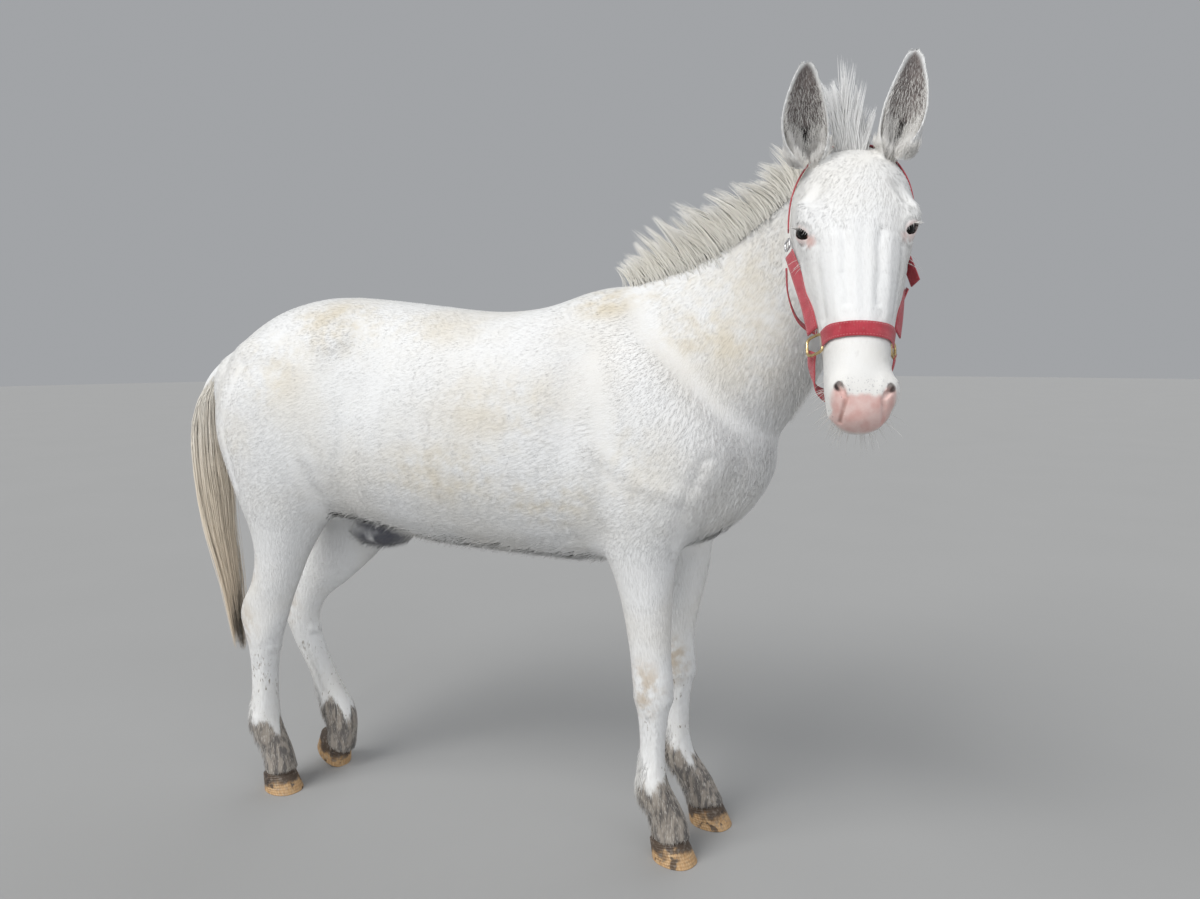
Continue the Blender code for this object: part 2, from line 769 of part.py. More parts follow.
def with_face(mesh):
    """The head's openings: lids round each eye, nostrils and the line of the mouth."""
    for side in (-1, 1):
        mesh = boolean(mesh, [ball(eye_middle(side), EYE_RADIUS + LID)], "UNION")
        mesh = boolean(mesh, [lid_opening(side)], "DIFFERENCE")
        mesh = boolean(mesh, [ball(eye_middle(side), EYE_RADIUS + GAP)], "DIFFERENCE")
        for cutter in nostril_cutters(side):
            mesh = boolean(mesh, [outward(cutter)], "DIFFERENCE")
    return largest(boolean(mesh, [mouth_cutter()], "DIFFERENCE"))


# Ears are deep cups that narrow to a point

EAR_ROOT = {-1: (0.012, -0.0745, -0.026), 1: (0.012, 0.061, -0.0165)}
EAR_TIP = {-1: Vector((0.748, -0.322, 1.550)), 1: Vector((0.915, -0.262, 1.572))}
EAR_FRONT = {-1: Vector((0.15, -1.0, 0.05)), 1: Vector((-0.10, -1.0, 0.05))}
EAR_SCALE = {-1: 0.98, 1: 0.90}
EAR_BOW = {-1: -0.008, 1: 0.006}
EAR_SHAPE = [
    (0.00, 0.029, 165),
    (0.14, 0.034, 140),
    (0.32, 0.037, 108),
    (0.50, 0.037, 92),
    (0.68, 0.031, 84),
    (0.84, 0.022, 78),
    (0.94, 0.015, 74),
    (1.00, 0.007, 70),
]
EAR_WALL = 0.0042


def ear(side, rows=1, columns=10, wall=EAR_WALL):
    """A curled sheet: share of the length, half width and half the curl in degrees."""
    root = head_point(*EAR_ROOT[side])
    axis = EAR_TIP[side] - root
    front = EAR_FRONT[side]
    front = (front - axis * front.dot(axis) / axis.length_squared).normalized()
    wide = axis.cross(front).normalized()
    if wide.x < 0:
        wide = -wide
    points = []
    shape = curve_through(EAR_SHAPE, rows)
    for share, half, curl in shape:
        curl = math.radians(curl)
        radius = half * EAR_SCALE[side] / math.sin(min(curl, math.pi / 2))
        bow = 0.012 * math.sin(math.pi * share)
        middle = root + axis * share + wide * EAR_BOW[side] * math.sin(math.pi * share)
        for k in range(columns + 1):
            angle = curl * (2 * k / columns - 1)
            depth = radius * (0.35 - math.cos(angle)) * 0.85
            points.append(middle + wide * radius * math.sin(angle) + front * (depth + bow))
    faces = []
    across = columns + 1
    for row in range(len(shape) - 1):
        for k in range(columns):
            low = row * across + k
            faces.append((low, low + 1, low + across + 1, low + across))
    thing = link("ear", mesh_from(points, faces))
    thick = thing.modifiers.new("wall", "SOLIDIFY")
    thick.thickness = wall
    thick.offset = 0.0
    thick.use_rim = True
    return outward(bake(thing))


# Hair in flat locks that taper, bend and overlap


# Share of a lock's length, its width and its thickness
LOCK_SHAPE = ((0.0, 0.70, 1.0), (0.35, 1.0, 0.9), (0.65, 0.78, 0.6), (0.87, 0.40, 0.35), (1.0, 0.08, 0.15))


def lock(path, width, thick, flat):
    """A flat lock along a path, with a ridge on the side that flat points to."""
    line = [Vector(p) for p in curve_through([tuple(p) for p in path], 8)]
    last = len(line) - 1
    points = []
    for share, wide, deep in LOCK_SHAPE:
        i = round(share * last)
        ahead = (line[min(i + 1, last)] - line[max(i - 1, 0)]).normalized()
        side = ahead.cross(flat).normalized() * width * wide / 2
        out = side.cross(ahead).normalized() * thick * deep
        if out.dot(flat) < 0:
            out = -out
        points += [line[i] + side, line[i] + out, line[i] - side]
    return outward(mesh_from(points, ring_faces(len(LOCK_SHAPE), 3)))


def crest_line():
    """Places along the top of the neck, from the withers to the poll."""
    tops = [(0.300, 0.000, 1.222), (0.400, 0.000, 1.238), (0.500, -0.008, 1.264),
            (0.590, -0.036, 1.305), (0.668, -0.090, 1.350), (0.738, -0.146, 1.392),
            (0.788, -0.198, 1.412), (0.822, -0.236, 1.424)]
    return [Vector(p) for p in curve_through(tops, 12)]


MANE_LOCKS = 40
MANE_LENGTH = 0.118


def mane():
    """Upright locks along the crest that lean back towards the withers."""
    draw = random.Random(5)
    line = crest_line()
    first, last = 10, len(line) - 5
    forms = []
    for k in range(MANE_LOCKS):
        share = k / (MANE_LOCKS - 1)
        spot = first + share * (last - first)
        i = int(spot)
        root = line[i].lerp(line[i + 1], spot - i)
        ahead = (line[i + 1] - line[i]).normalized()
        across = Vector((-ahead.y, ahead.x, 0)).normalized()
        up = ahead.cross(across).normalized()
        if up.z < 0:
            up = -up
        tall = MANE_LENGTH * (0.42 + 0.62 * math.sin(math.pi * min(1, 0.04 + share * 0.8)))
        tall *= draw.uniform(0.85, 1.1)
        sway = (k % 3 - 1) * 0.16 + draw.uniform(-0.10, 0.10)
        lean = draw.uniform(0.30, 0.50)
        start = root + across * ((k % 3 - 1) * 0.007) - up * 0.016
        rise = (up + across * sway * 0.6 - ahead * lean * 0.5).normalized()
        fall = (up + across * sway * 1.6 - ahead * lean * 1.8).normalized()
        mid = start + rise * (tall * 0.5 + 0.016)
        tip = mid + fall * tall * 0.5
        forms.append(lock([start, mid, tip], 0.027, 0.007, across * (1 - 2 * (k % 2))))
    return forms + [mane_core(line[first:last + 1])]


def mane_core(line):
    """A low ridge along the crest that the locks grow from."""
    points = []
    step = 6
    for k, here in enumerate(line[::step]):
        i = min(k * step + 1, len(line) - 1)
        ahead = (line[i] - line[i - 1]).normalized()
        across = Vector((-ahead.y, ahead.x, 0)).normalized()
        ends = min(1, (k + 1) * 0.25, (len(line) / step - k) * 0.5)
        up = Vector((0, 0, 1))
        points += [here + across * 0.014 - up * 0.014, here + across * 0.007 + up * 0.044 * ends,
                   here - across * 0.007 + up * 0.044 * ends, here - across * 0.014 - up * 0.014]
    return outward(mesh_from(points, ring_faces(len(points) // 4, 4)))


FORELOCKS = 13


def forelock():
    """Locks that stand up between the ears and lean to the mule's right."""
    draw = random.Random(12)
    forms = [lobe(head_point(-0.006, -0.004, -0.008), (0.024, 0.036, 0.030), HEAD_TURN, 1)]
    for k in range(FORELOCKS):
        share = k / (FORELOCKS - 1)
        left = -0.034 + 0.056 * share
        along = (-0.012, 0.004, 0.018)[k % 3]
        start = head_point(along, left * 0.8, -0.006)
        rise = Vector((-0.14 + 0.26 * (share - 0.4), -0.22 + 0.10 * (k % 3), 1.0)).normalized()
        tall = draw.uniform(0.100, 0.140) * (1 - 0.30 * abs(share - 0.3))
        mid = start + rise * tall * 0.55
        bend = Vector((draw.uniform(-0.5, 0.1), draw.uniform(-0.30, 0.0), 0.9)).normalized()
        forms.append(lock([start, mid, mid + bend * tall * 0.5], 0.024, 0.008, Vector((0, -1, 0))))
    return forms


TAIL_LOCKS = 24
TAIL_LINE = [
    (-0.615, 0.000, 1.070),
    (-0.672, 0.000, 1.055),
    (-0.732, 0.004, 0.995),
    (-0.760, 0.010, 0.890),
    (-0.764, 0.015, 0.765),
    (-0.750, 0.018, 0.635),
    (-0.722, 0.020, 0.500),
    (-0.706, 0.018, 0.380),
    (-0.700, 0.016, 0.310),
]


def tail():
    """A core to half way down, under long locks that overlap to the tip."""
    draw = random.Random(5)
    line = [Vector(p) for p in curve_through(TAIL_LINE, 6)]
    wide = (0.022, 0.024, 0.026, 0.028, 0.026, 0.014)
    spine = [Vector(p) for p in TAIL_LINE[:6]]
    rows = []
    for i, here in enumerate(spine):
        ahead = (spine[min(i + 1, 5)] - spine[max(i - 1, 0)]).normalized()
        over = Vector((0, 1, 0)).cross(ahead).normalized() * wide[i] * 0.85
        rows.append((here + over, here - over, wide[i], 2.0, 0.0))
    forms = [loft(rows, 8, 1)]
    last = len(line) - 1
    for k in range(TAIL_LOCKS):
        angle = math.tau * (k * 0.381966 % 1)
        begin = 5 + int(20 * ((k * 0.618) % 1))
        length = int(last * draw.uniform(0.42, 0.58))
        end = min(last, begin + length)
        path = []
        for j in range(5):
            share = j / 4
            i = int(round(begin + (end - begin) * share))
            here = line[i]
            ahead = (line[min(i + 1, last)] - line[max(i - 1, 0)]).normalized()
            over = Vector((0, 1, 0)).cross(ahead).normalized()
            spread = (0.014, 0.030, 0.036, 0.030, 0.020)[j] * (1 - 0.35 * (end / last) * share)
            wave = draw.uniform(-0.004, 0.004)
            path.append(here + over * (math.sin(angle) * spread * 0.8 + wave)
                        + Vector((0, math.cos(angle) * spread * 1.25 + wave, 0)))
        outwards = path[2] - line[int((begin + end) / 2)]
        forms.append(lock(path, 0.036, 0.010, outwards.normalized()))
    return forms


def swollen(mesh, by):
    """A copy of a mesh, moved out along its normals."""
    made = mesh.copy()
    shift = [v.normal * by for v in mesh.vertices]
    for vertex, step in zip(made.vertices, shift):
        vertex.co = vertex.co + step
    return made


def grown_on(forms, *others):
    """Pieces joined into one, and cut just clear of the others."""
    one = largest(boolean(forms[0], forms[1:], "UNION"))
    for other in others:
        one = largest(boolean(one, [swollen(other, 3 * GAP)], "DIFFERENCE"))
    return one


# The halter of flat webbing

WEB = 0.025
WEB_THIN = 0.017
WEB_THICK = 0.0026
WEB_CLEAR = 0.0016


def strap(body, route, width, free=False):
    """Webbing over the skin: each point of the route is on the head, as for head_point.

    It follows the skin, or hangs free along the route. A row of the route can
    also hold the way that the webbing looks there.
    """
    rows = curve_through(route, 3)
    spots = [head_point(*row[:3]) for row in rows]
    last = len(spots) - 1
    points = []
    for i, spot in enumerate(spots):
        ahead = (spots[min(i + 1, last)] - spots[max(i - 1, 0)]).normalized()
        _, normal, _, _ = body.find_nearest(spot)
        if len(rows[i]) > 3:
            normal = (HEAD_TURN @ Vector(rows[i][3:])).normalized()
        side = normal.cross(ahead).normalized()
        under = []
        for share in (-0.5, 0.0, 0.5):
            place, out, _, _ = body.find_nearest(spot + side * width * share)
            if free:
                place, out = spot + side * width * share, normal
            under.append((place, (out + normal).normalized()))
        points += [place + out * WEB_CLEAR for place, out in under]
        points += [place + out * (WEB_CLEAR + WEB_THICK) for place, out in reversed(under)]
    return outward(mesh_from(points, ring_faces(len(spots), 6)))


# Place, half size, wire and lift of each ring
RING_RIGHT = ((0.348, -0.057, -0.060), 0.016, 0.0024, 0.006)
RING_LEFT = ((0.348, 0.057, -0.068), 0.013, 0.0024, 0.002)
BUCKLE = ((0.136, -0.103, -0.088), 0.009, 0.0020, 0.003)
WIRE_SIDES = 6

# The ways that the rings and the buckle look, in the head's axes
RING_FACE = {-1: (0.05, -0.74, 0.66), 1: (0.05, 0.90, 0.40)}
BUCKLE_FACE = (0.05, -0.95, 0.30)


def ring(body, spot, size, wire, face, lift):
    """A square metal ring that stands off the skin and looks the way that face says."""
    centre, out, _, _ = body.find_nearest(head_point(*spot))
    centre = centre + out * (WEB_CLEAR + wire + lift)
    normal = (HEAD_TURN @ Vector(face)).normalized()
    along = HEAD_TURN @ Vector((1, 0, 0))
    along = (along - normal * along.dot(normal)).normalized()
    across = normal.cross(along)
    points = []
    corners = 12
    for k in range(corners):
        angle = math.tau * (k + 0.5) / corners
        x = signed_power(math.cos(angle), 0.55)
        y = signed_power(math.sin(angle), 0.55)
        out = (along * x + across * y).normalized()
        middle = centre + (along * x + across * y) * size
        for j in range(WIRE_SIDES):
            turned = math.tau * j / WIRE_SIDES
            points.append(middle + out * wire * math.cos(turned) + normal * wire * math.sin(turned))
    faces = []
    for k in range(corners):
        low, high = k * WIRE_SIDES, (k + 1) % corners * WIRE_SIDES
        for j in range(WIRE_SIDES):
            after = (j + 1) % WIRE_SIDES
            faces.append((low + j, low + after, high + after, high + j))
    return outward(mesh_from(points, faces))


# The strap's loose end, which stands off the left cheek
LOOSE_END = [(0.150, 0.0970, -0.106), (0.166, 0.101, -0.105), (0.182, 0.105, -0.104), (0.198, 0.109, -0.104)]

STRAPS = {
    "halter_noseband": [(0.350, -0.062, -0.040), (0.352, -0.052, -0.012), (0.356, -0.022, 0.006),
                        (0.356, 0.022, 0.006), (0.352, 0.052, -0.012), (0.350, 0.062, -0.040)],
    "halter_chin": [(0.352, -0.064, -0.076, 0.0, -0.80, 0.50), (0.374, -0.062, -0.096, 0.0, -0.85, 0.35),
                    (0.400, -0.048, -0.119, 0.0, -0.80, -0.30), (0.410, 0.0, -0.136, 0.0, 0.0, -1.0),
                    (0.400, 0.048, -0.119, 0.0, 0.80, -0.30), (0.374, 0.059, -0.096, 0.0, 0.85, 0.25),
                    (0.354, 0.062, -0.078, 0.0, 0.85, 0.35)],
    "halter_cheek_right": [(0.324, -0.065, -0.062, 0.10, -0.84, 0.52),
                           (0.270, -0.074, -0.067, 0.10, -0.84, 0.52),
                           (0.215, -0.086, -0.076, 0.10, -0.84, 0.52),
                           (0.154, -0.099, -0.088, 0.10, -0.84, 0.52)],
    "halter_cheek_left": [(0.322, 0.064, -0.064, 0.10, 0.84, 0.52),
                          (0.270, 0.073, -0.072, 0.10, 0.84, 0.45),
                          (0.215, 0.083, -0.091, 0.10, 0.90, 0.30),
                          (0.160, 0.089, -0.108, 0.10, 0.95, 0.10)],
    "halter_crown": [(0.104, -0.102, -0.094), (0.070, -0.102, -0.078), (0.030, -0.094, -0.050),
                     (-0.022, -0.062, -0.030), (-0.040, 0.0, -0.018), (-0.022, 0.062, -0.030),
                     (0.030, 0.094, -0.050), (0.080, 0.102, -0.078), (0.130, 0.100, -0.094)],
    "halter_throat": [(0.166, -0.102, -0.112), (0.204, -0.096, -0.138), (0.236, -0.076, -0.168),
                      (0.246, -0.044, -0.188),
                      (0.248, 0.0, -0.190), (0.246, 0.044, -0.188), (0.230, 0.080, -0.166),
                      (0.190, 0.100, -0.130)],
}


def halter(body):
    """Straps and rings by name."""
    pieces = {name: strap(body, STRAPS[name], WEB) for name in ("halter_noseband", "halter_crown")}
    pieces["halter_throat"] = strap(body, STRAPS["halter_throat"], WEB_THIN, True)
    for name in ("halter_chin", "halter_cheek_right", "halter_cheek_left"):
        pieces[name] = strap(body, STRAPS[name], WEB, True)
    loose_end = [head_point(*p) for p in LOOSE_END]
    pieces["halter_loose_end"] = blade(loose_end, HEAD_TURN @ Vector((0, 0.003, WEB_THIN / 2)), WEB_THICK)
    for name, face, fitting in (("halter_ring_right", RING_FACE[-1], RING_RIGHT),
                                ("halter_ring_left", RING_FACE[1], RING_LEFT),
                                ("halter_buckle", BUCKLE_FACE, BUCKLE)):
        spot, size, wire, lift = fitting
        pieces[name] = ring(body, spot, size, wire, face, lift)
    return pieces


def strap_finish(name):
    if "ring" in name:
        return material("brass", BRASS, 0.3, 1.0)
    if "buckle" in name:
        return material("steel", STEEL, 0.3, 1.0)
    return material("red_webbing", RED, 0.7)


def place(name, mesh, finish):
    """Set a piece in the part's own frame, with round faces shaded smooth."""
    mesh.transform(Matrix.Translation(-ORIGIN))
    thing = link(name, mesh, finish)
    mesh.shade_smooth()
    mesh.set_sharp_from_angle(angle=math.radians(50))
    return thing


def main():
    clear_scene()
    coat = material("white_coat", WHITE)
    hair = material("cream_hair", HAIR, 0.7)
    horn = material("hoof_horn", HORN, 0.6)
    body = largest(thinned(flesh(), FLESH_FACES))
    tree_source = bmesh.new()
    tree_source.from_mesh(body)
    tree = BVHTree.FromBMesh(tree_source)
    tree_source.free()

    straps = {name: grown_on([mesh], body) for name, mesh in halter(tree).items()}
    crown = straps["halter_crown"]
    cheek = straps["halter_cheek_left"]
    straps["halter_loose_end"] = grown_on([straps["halter_loose_end"]], crown, cheek)
    rings = (straps["halter_ring_right"], straps["halter_ring_left"])
    straps["halter_chin"] = grown_on([straps["halter_chin"]], *rings)
    place("mane", grown_on(mane(), body, crown), hair)
    place("forelock", grown_on(forelock(), body, crown), hair)
    place("tail", grown_on(tail(), body), hair)
    for side, name in ((-1, "ear_right"), (1, "ear_left")):
        place(name, grown_on([ear(side)], body, crown), coat)
    for name, mesh in straps.items():
        place(name, mesh, strap_finish(name))
    for side, name in ((-1, "eye_right"), (1, "eye_left")):
        place(name, ball(eye_middle(side), EYE_RADIUS), material("eye", EYE_BLACK, 0.08))

    cutters = [foot.coronet_cutter() for foot in FEET.values()]
    skin = with_face(boolean(body, [joined(cutters)], "DIFFERENCE"))
    for name, mesh in parted(skin).items():
        place(name, mesh, coat)
    for name, foot in FEET.items():
        place(name + "_hoof", foot.hoof(), horn)


main()
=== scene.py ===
"""Looks of a white mule that stands with its head turned back over its right side.

One skin is melted from the same ovals as the solids, finest on the head. Over it lies
a short coat of solid tufts. Mane, forelock, tail, lashes and whiskers are strands.
Shapes are made in the animal's own place and moved into the part's frame at the end.
Metres, +Z up, +X towards the front of the body, +Y towards the mule's left.
"""
import math
import random

import bmesh
import bpy
import numpy as np
from mathutils import Matrix, Vector
from mathutils.bvhtree import BVHTree


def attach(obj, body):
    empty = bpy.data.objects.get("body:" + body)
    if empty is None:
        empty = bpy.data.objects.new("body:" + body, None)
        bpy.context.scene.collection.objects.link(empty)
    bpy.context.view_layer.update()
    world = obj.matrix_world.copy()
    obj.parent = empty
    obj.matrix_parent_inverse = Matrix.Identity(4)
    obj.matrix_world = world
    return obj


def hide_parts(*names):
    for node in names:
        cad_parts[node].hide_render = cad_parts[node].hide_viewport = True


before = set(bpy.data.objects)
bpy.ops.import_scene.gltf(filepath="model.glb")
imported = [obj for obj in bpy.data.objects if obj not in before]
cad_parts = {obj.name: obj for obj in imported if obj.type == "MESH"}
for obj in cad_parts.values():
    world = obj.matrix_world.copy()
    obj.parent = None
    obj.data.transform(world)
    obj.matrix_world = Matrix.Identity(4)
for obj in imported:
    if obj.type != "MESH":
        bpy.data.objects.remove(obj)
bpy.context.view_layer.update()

# Where the head is held, and the ways it is turned, in degrees
ORIGIN = Vector((0.0694, -0.1313, 0.0))
POLL = Vector((0.827, -0.247, 1.428))
HEAD_YAW = -83.5
HEAD_PITCH = 60
HEAD_ROLL = -4
HEAD_LENGTH = 0.50
FORE_YAW = -28
HIND_YAW = -20
NEAR_FORE_LEADS = (0.0, 0.0, 0.0, 0.0)
FAR_FORE_LEADS = (0.047, 0.018, 0.012, 0.046)
HALF_BARREL = 0.208
HALF_HIPS = 0.192
GAP = 0.0003

# Fineness of the skin: the forms melt at one voxel, then again at another, finer on the head
MELT_VOXEL = 0.0085
SKIN_VOXEL = 0.0088
HEAD_ZOOM = 3.8
FLESH_ROUNDS = 22
SKIN_ROUNDS = 3
ZOOM_REACH = 0.27
ZOOM_FADE = 0.12
NECK_ROUNDS = 60


# Small tools for shapes


def turn(yaw, pitch, roll=0):
    """Axes for a long form: x along it, y to its left, z over its top."""
    return (Matrix.Rotation(math.radians(yaw), 3, "Z")
            @ Matrix.Rotation(math.radians(pitch), 3, "Y")
            @ Matrix.Rotation(math.radians(roll), 3, "X"))


HEAD_TURN = turn(HEAD_YAW, HEAD_PITCH, HEAD_ROLL)


def head_point(along, left, over):
    """A place on the head: metres from the poll to the muzzle, leftwards, and over the brow."""
    return POLL + HEAD_TURN @ Vector((along, left, over))


def in_head(points):
    """Places of many points in the head's own axes."""
    return (points - np.array(POLL)) @ np.array(HEAD_TURN)


def curve_through(rows, steps):
    """Rows of numbers, with smooth rows between them, steps for each stretch."""
    rows = np.array(rows, float)
    rows = np.vstack([2 * rows[0] - rows[1], rows, 2 * rows[-1] - rows[-2]])
    out = []
    for i in range(1, len(rows) - 2):
        a, b, c, d = rows[i - 1:i + 3]
        for t in np.arange(steps) / steps:
            bend = (2 * a - 5 * b + 4 * c - d) * t * t + (3 * b - a - 3 * c + d) * t ** 3
            out.append(0.5 * (2 * b + (c - a) * t + bend))
    out.append(rows[-2])
    return np.array(out)


def signed_power(value, power):
    return math.copysign(abs(value) ** power, value)


def ease(values, low, high):
    """A smooth step from 0 at low to 1 at high."""
    share = np.clip((values - low) / (high - low), 0, 1)
    return share * share * (3 - 2 * share)


def unit(vectors):
    return vectors / np.maximum(np.linalg.norm(vectors, axis=-1, keepdims=True), 1e-9)


def mesh_from(points, faces):
    mesh = bpy.data.meshes.new("form")
    mesh.from_pydata([tuple(p) for p in points], [], faces)
    mesh.validate()
    return mesh


def mesh_of(points, triangles):
    """A mesh from arrays of points and triangles."""
    mesh = bpy.data.meshes.new("form")
    mesh.vertices.add(len(points))
    mesh.vertices.foreach_set("co", np.asarray(points, np.float32).ravel())
    mesh.loops.add(triangles.size)
    mesh.loops.foreach_set("vertex_index", triangles.astype(np.int32).ravel())
    mesh.polygons.add(len(triangles))
    mesh.polygons.foreach_set("loop_start", np.arange(0, triangles.size, 3, dtype=np.int32))
    mesh.update(calc_edges=True)
    return mesh


def outward(mesh):
    """Turn every face outwards, and give the mesh back."""
    work = bmesh.new()
    work.from_mesh(mesh)
    bmesh.ops.recalc_face_normals(work, faces=work.faces)
    work.to_mesh(mesh)
    work.free()
    return mesh


def ring_faces(rings, sides):
    """Faces of a tube of that many rings, with both ends closed."""
    faces = [tuple(range(sides))[::-1]]
    faces.append(tuple(range((rings - 1) * sides, rings * sides)))
    for ring in range(rings - 1):
        for k in range(sides):
            after = (k + 1) % sides
            low = ring * sides
            high = low + sides
            faces.append((low + k, low + after, high + after, high + k))
    return faces


def loft(rows, sides=24, steps=4):
    """A closed form through ovals, each row a top, a bottom, a half width, squareness and taper."""
    flat = [(*top, *bottom, half, square, taper) for top, bottom, half, square, taper in rows]
    flat = curve_through(flat, steps)
    middle = (flat[:, 0:3] + flat[:, 3:6]) / 2
    run = np.gradient(middle, axis=0)
    points = []
    for row, centre, ahead in zip(flat, middle, run):
        over = (row[0:3] - row[3:6]) / 2
        across = np.cross(over, ahead)
        across /= np.linalg.norm(across)
        half, square, taper = row[6:9]
        for k in range(sides):
            angle = math.tau * k / sides
            wide = signed_power(math.cos(angle), 2 / square) * half
            high = signed_power(math.sin(angle), 2 / square)
            points.append(centre + across * wide * (1 - taper * high) + over * high)
    return outward(mesh_from(points, ring_faces(len(flat), sides)))


def limb(stations, toe_yaw):
    """A leg that runs down: each station a height, front, rear, middle y and half width."""
    rows = []
    for height, front, rear, middle, half in stations:
        turned = math.radians(toe_yaw) * min(1, max(0, (0.22 - height) / 0.14))
        reach = Vector((math.cos(turned), math.sin(turned), 0)) * (front - rear) / 2
        centre = Vector(((front + rear) / 2, middle, height))
        rows.append((centre + reach, centre - reach, half, 2.1, 0.0))
    return rows


def lobe(centre, radii, axes=None, fineness=3):
    """A rounded mass with three radii, along the axes given."""
    work = bmesh.new()
    bmesh.ops.create_icosphere(work, subdivisions=fineness, radius=1.0)
    place = Matrix.Translation(centre) @ (axes or Matrix.Identity(3)).to_4x4()
    bmesh.ops.transform(work, matrix=place @ Matrix.Diagonal((*radii, 1)), verts=work.verts)
    mesh = bpy.data.meshes.new("lobe")
    work.to_mesh(mesh)
    work.free()
    return mesh


def head_lobe(along, left, over, radii):
    return lobe(head_point(along, left, over), radii, HEAD_TURN)


def joined(meshes):
    """One mesh that holds all of them, still as separate shells."""
    work = bmesh.new()
    for mesh in meshes:
        work.from_mesh(mesh)
    mesh = bpy.data.meshes.new("joined")
    work.to_mesh(mesh)
    work.free()
    return mesh


def link(name, mesh):
    thing = bpy.data.objects.new(name, mesh)
    bpy.context.scene.collection.objects.link(thing)
    return thing


def bake(thing):
    """The mesh that an object has once its modifiers are applied."""
    seen = thing.evaluated_get(bpy.context.evaluated_depsgraph_get())
    mesh = bpy.data.meshes.new_from_object(seen)
    bpy.data.objects.remove(thing, do_unlink=True)
    return mesh


def melted(mesh, voxel):
    """Shells that overlap, melted into one skin."""
    thing = link("melt", mesh)
    remesh = thing.modifiers.new("melt", "REMESH")
    remesh.mode = "VOXEL"
    remesh.voxel_size = voxel
    remesh.adaptivity = 0.0
    return bake(thing)


def rounded(mesh):
    """The mesh divided once, with its facets rounded off."""
    thing = link("round", mesh)
    step = thing.modifiers.new("round", "SUBSURF")
    step.levels = 1
    step.render_levels = 1
    return bake(thing)


def cut(mesh, others, operation="DIFFERENCE"):
    """Cut other closed meshes out of this one, or add them to it."""
    for other in others:
        thing = link("base", mesh)
        tool = link("tool", other)
        tool.hide_render = True
        tool.display_type = "WIRE"
        step = thing.modifiers.new("cut", "BOOLEAN")
        step.operation = operation
        step.solver = "MANIFOLD"
        step.object = tool
        mesh = bake(thing)
        bpy.data.objects.remove(tool, do_unlink=True)
    return mesh


def coordinates(mesh):
    places = np.empty(len(mesh.vertices) * 3, np.float32)
    mesh.vertices.foreach_get("co", places)
    return places.reshape(-1, 3).astype(float)


def normals_of(mesh):
    found = np.empty(len(mesh.vertices) * 3, np.float32)
    mesh.vertex_normals.foreach_get("vector", found)
    return found.reshape(-1, 3).astype(float)


def triangles_of(mesh):
    mesh.calc_loop_triangles()
    found = np.empty(len(mesh.loop_triangles) * 3, np.int32)
    mesh.loop_triangles.foreach_get("vertices", found)
    return found.reshape(-1, 3)


def move_to(mesh, places):
    mesh.vertices.foreach_set("co", places.astype(np.float32).ravel())
    mesh.update()


def along_path(points, path):
    """For each point the share of the way along a path, its distance, and the nearest place."""
    path = np.array([tuple(p) for p in path], float)
    runs = np.linalg.norm(np.diff(path, axis=0), axis=1)
    starts = np.concatenate([[0], np.cumsum(runs)])
    best = np.full(len(points), 99.0)
    share = np.zeros(len(points))
    foot = np.zeros_like(points)
    for i, (a, b) in enumerate(zip(path[:-1], path[1:])):
        t = np.clip((points - a) @ (b - a) / runs[i] ** 2, 0, 1)
        near = a + t[:, None] * (b - a)
        gap = np.linalg.norm(points - near, axis=1)
        closer = gap < best
        best = np.where(closer, gap, best)
        share = np.where(closer, (starts[i] + t * runs[i]) / starts[-1], share)
        foot = np.where(closer[:, None], near, foot)
    return share, best, foot


def gap_to(points, path):
    """Each point's distance from a path."""
    return along_path(points, path)[1]


# Forms of the flesh


def trunk():
    """Ovals along x: top, bottom, half width and taper."""
    stations = [
        (-0.652, 1.030, 0.880, 0.030, 0.0),
        (-0.630, 1.084, 0.820, 0.085, 0.0),
        (-0.570, 1.138, 0.760, 0.135, 0.0),
        (-0.480, 1.188, 0.720, 0.172, 0.05),
        (-0.380, 1.214, 0.700, HALF_HIPS, 0.10),
        (-0.290, 1.217, 0.690, HALF_HIPS, 0.12),
        (-0.187, 1.207, 0.672, 0.196, 0.10),
        (-0.080, 1.194, 0.650, 0.203, 0.06),
        (0.064, 1.178, 0.640, HALF_BARREL, 0.04),
        (0.180, 1.186, 0.634, 0.203, 0.08),
        (0.290, 1.219, 0.632, 0.186, 0.22),
        (0.370, 1.228, 0.642, 0.172, 0.26),
        (0.460, 1.180, 0.662, 0.160, 0.15),
        (0.550, 1.100, 0.695, 0.150, 0.05),
        (0.620, 1.030, 0.745, 0.125, 0.0),
        (0.662, 0.980, 0.805, 0.080, 0.0),
        (0.680, 0.940, 0.850, 0.030, 0.0),
    ]
    rows = [((x, 0, top), (x, 0, low), half, 2.15, taper) for x, top, low, half, taper in stations]
    return loft(rows, sides=32)


def trunk_masses():
    """Point of hip, buttock, shoulder and breast, on both sides."""
    forms = []
    for side in (-1, 1):
        forms.append(lobe((-0.285, side * 0.094, 1.092), (0.120, 0.070, 0.075)))
        forms.append(lobe((-0.440, side * 0.090, 1.050), (0.150, 0.080, 0.095)))
        forms.append(lobe((-0.588, side * 0.072, 0.995), (0.058, 0.058, 0.100)))
        forms.append(lobe((0.590, side * 0.068, 0.860), (0.068, 0.056, 0.082)))
    forms.append(lobe((-0.255, 0, 0.660), (0.095, 0.040, 0.038)))
    return forms


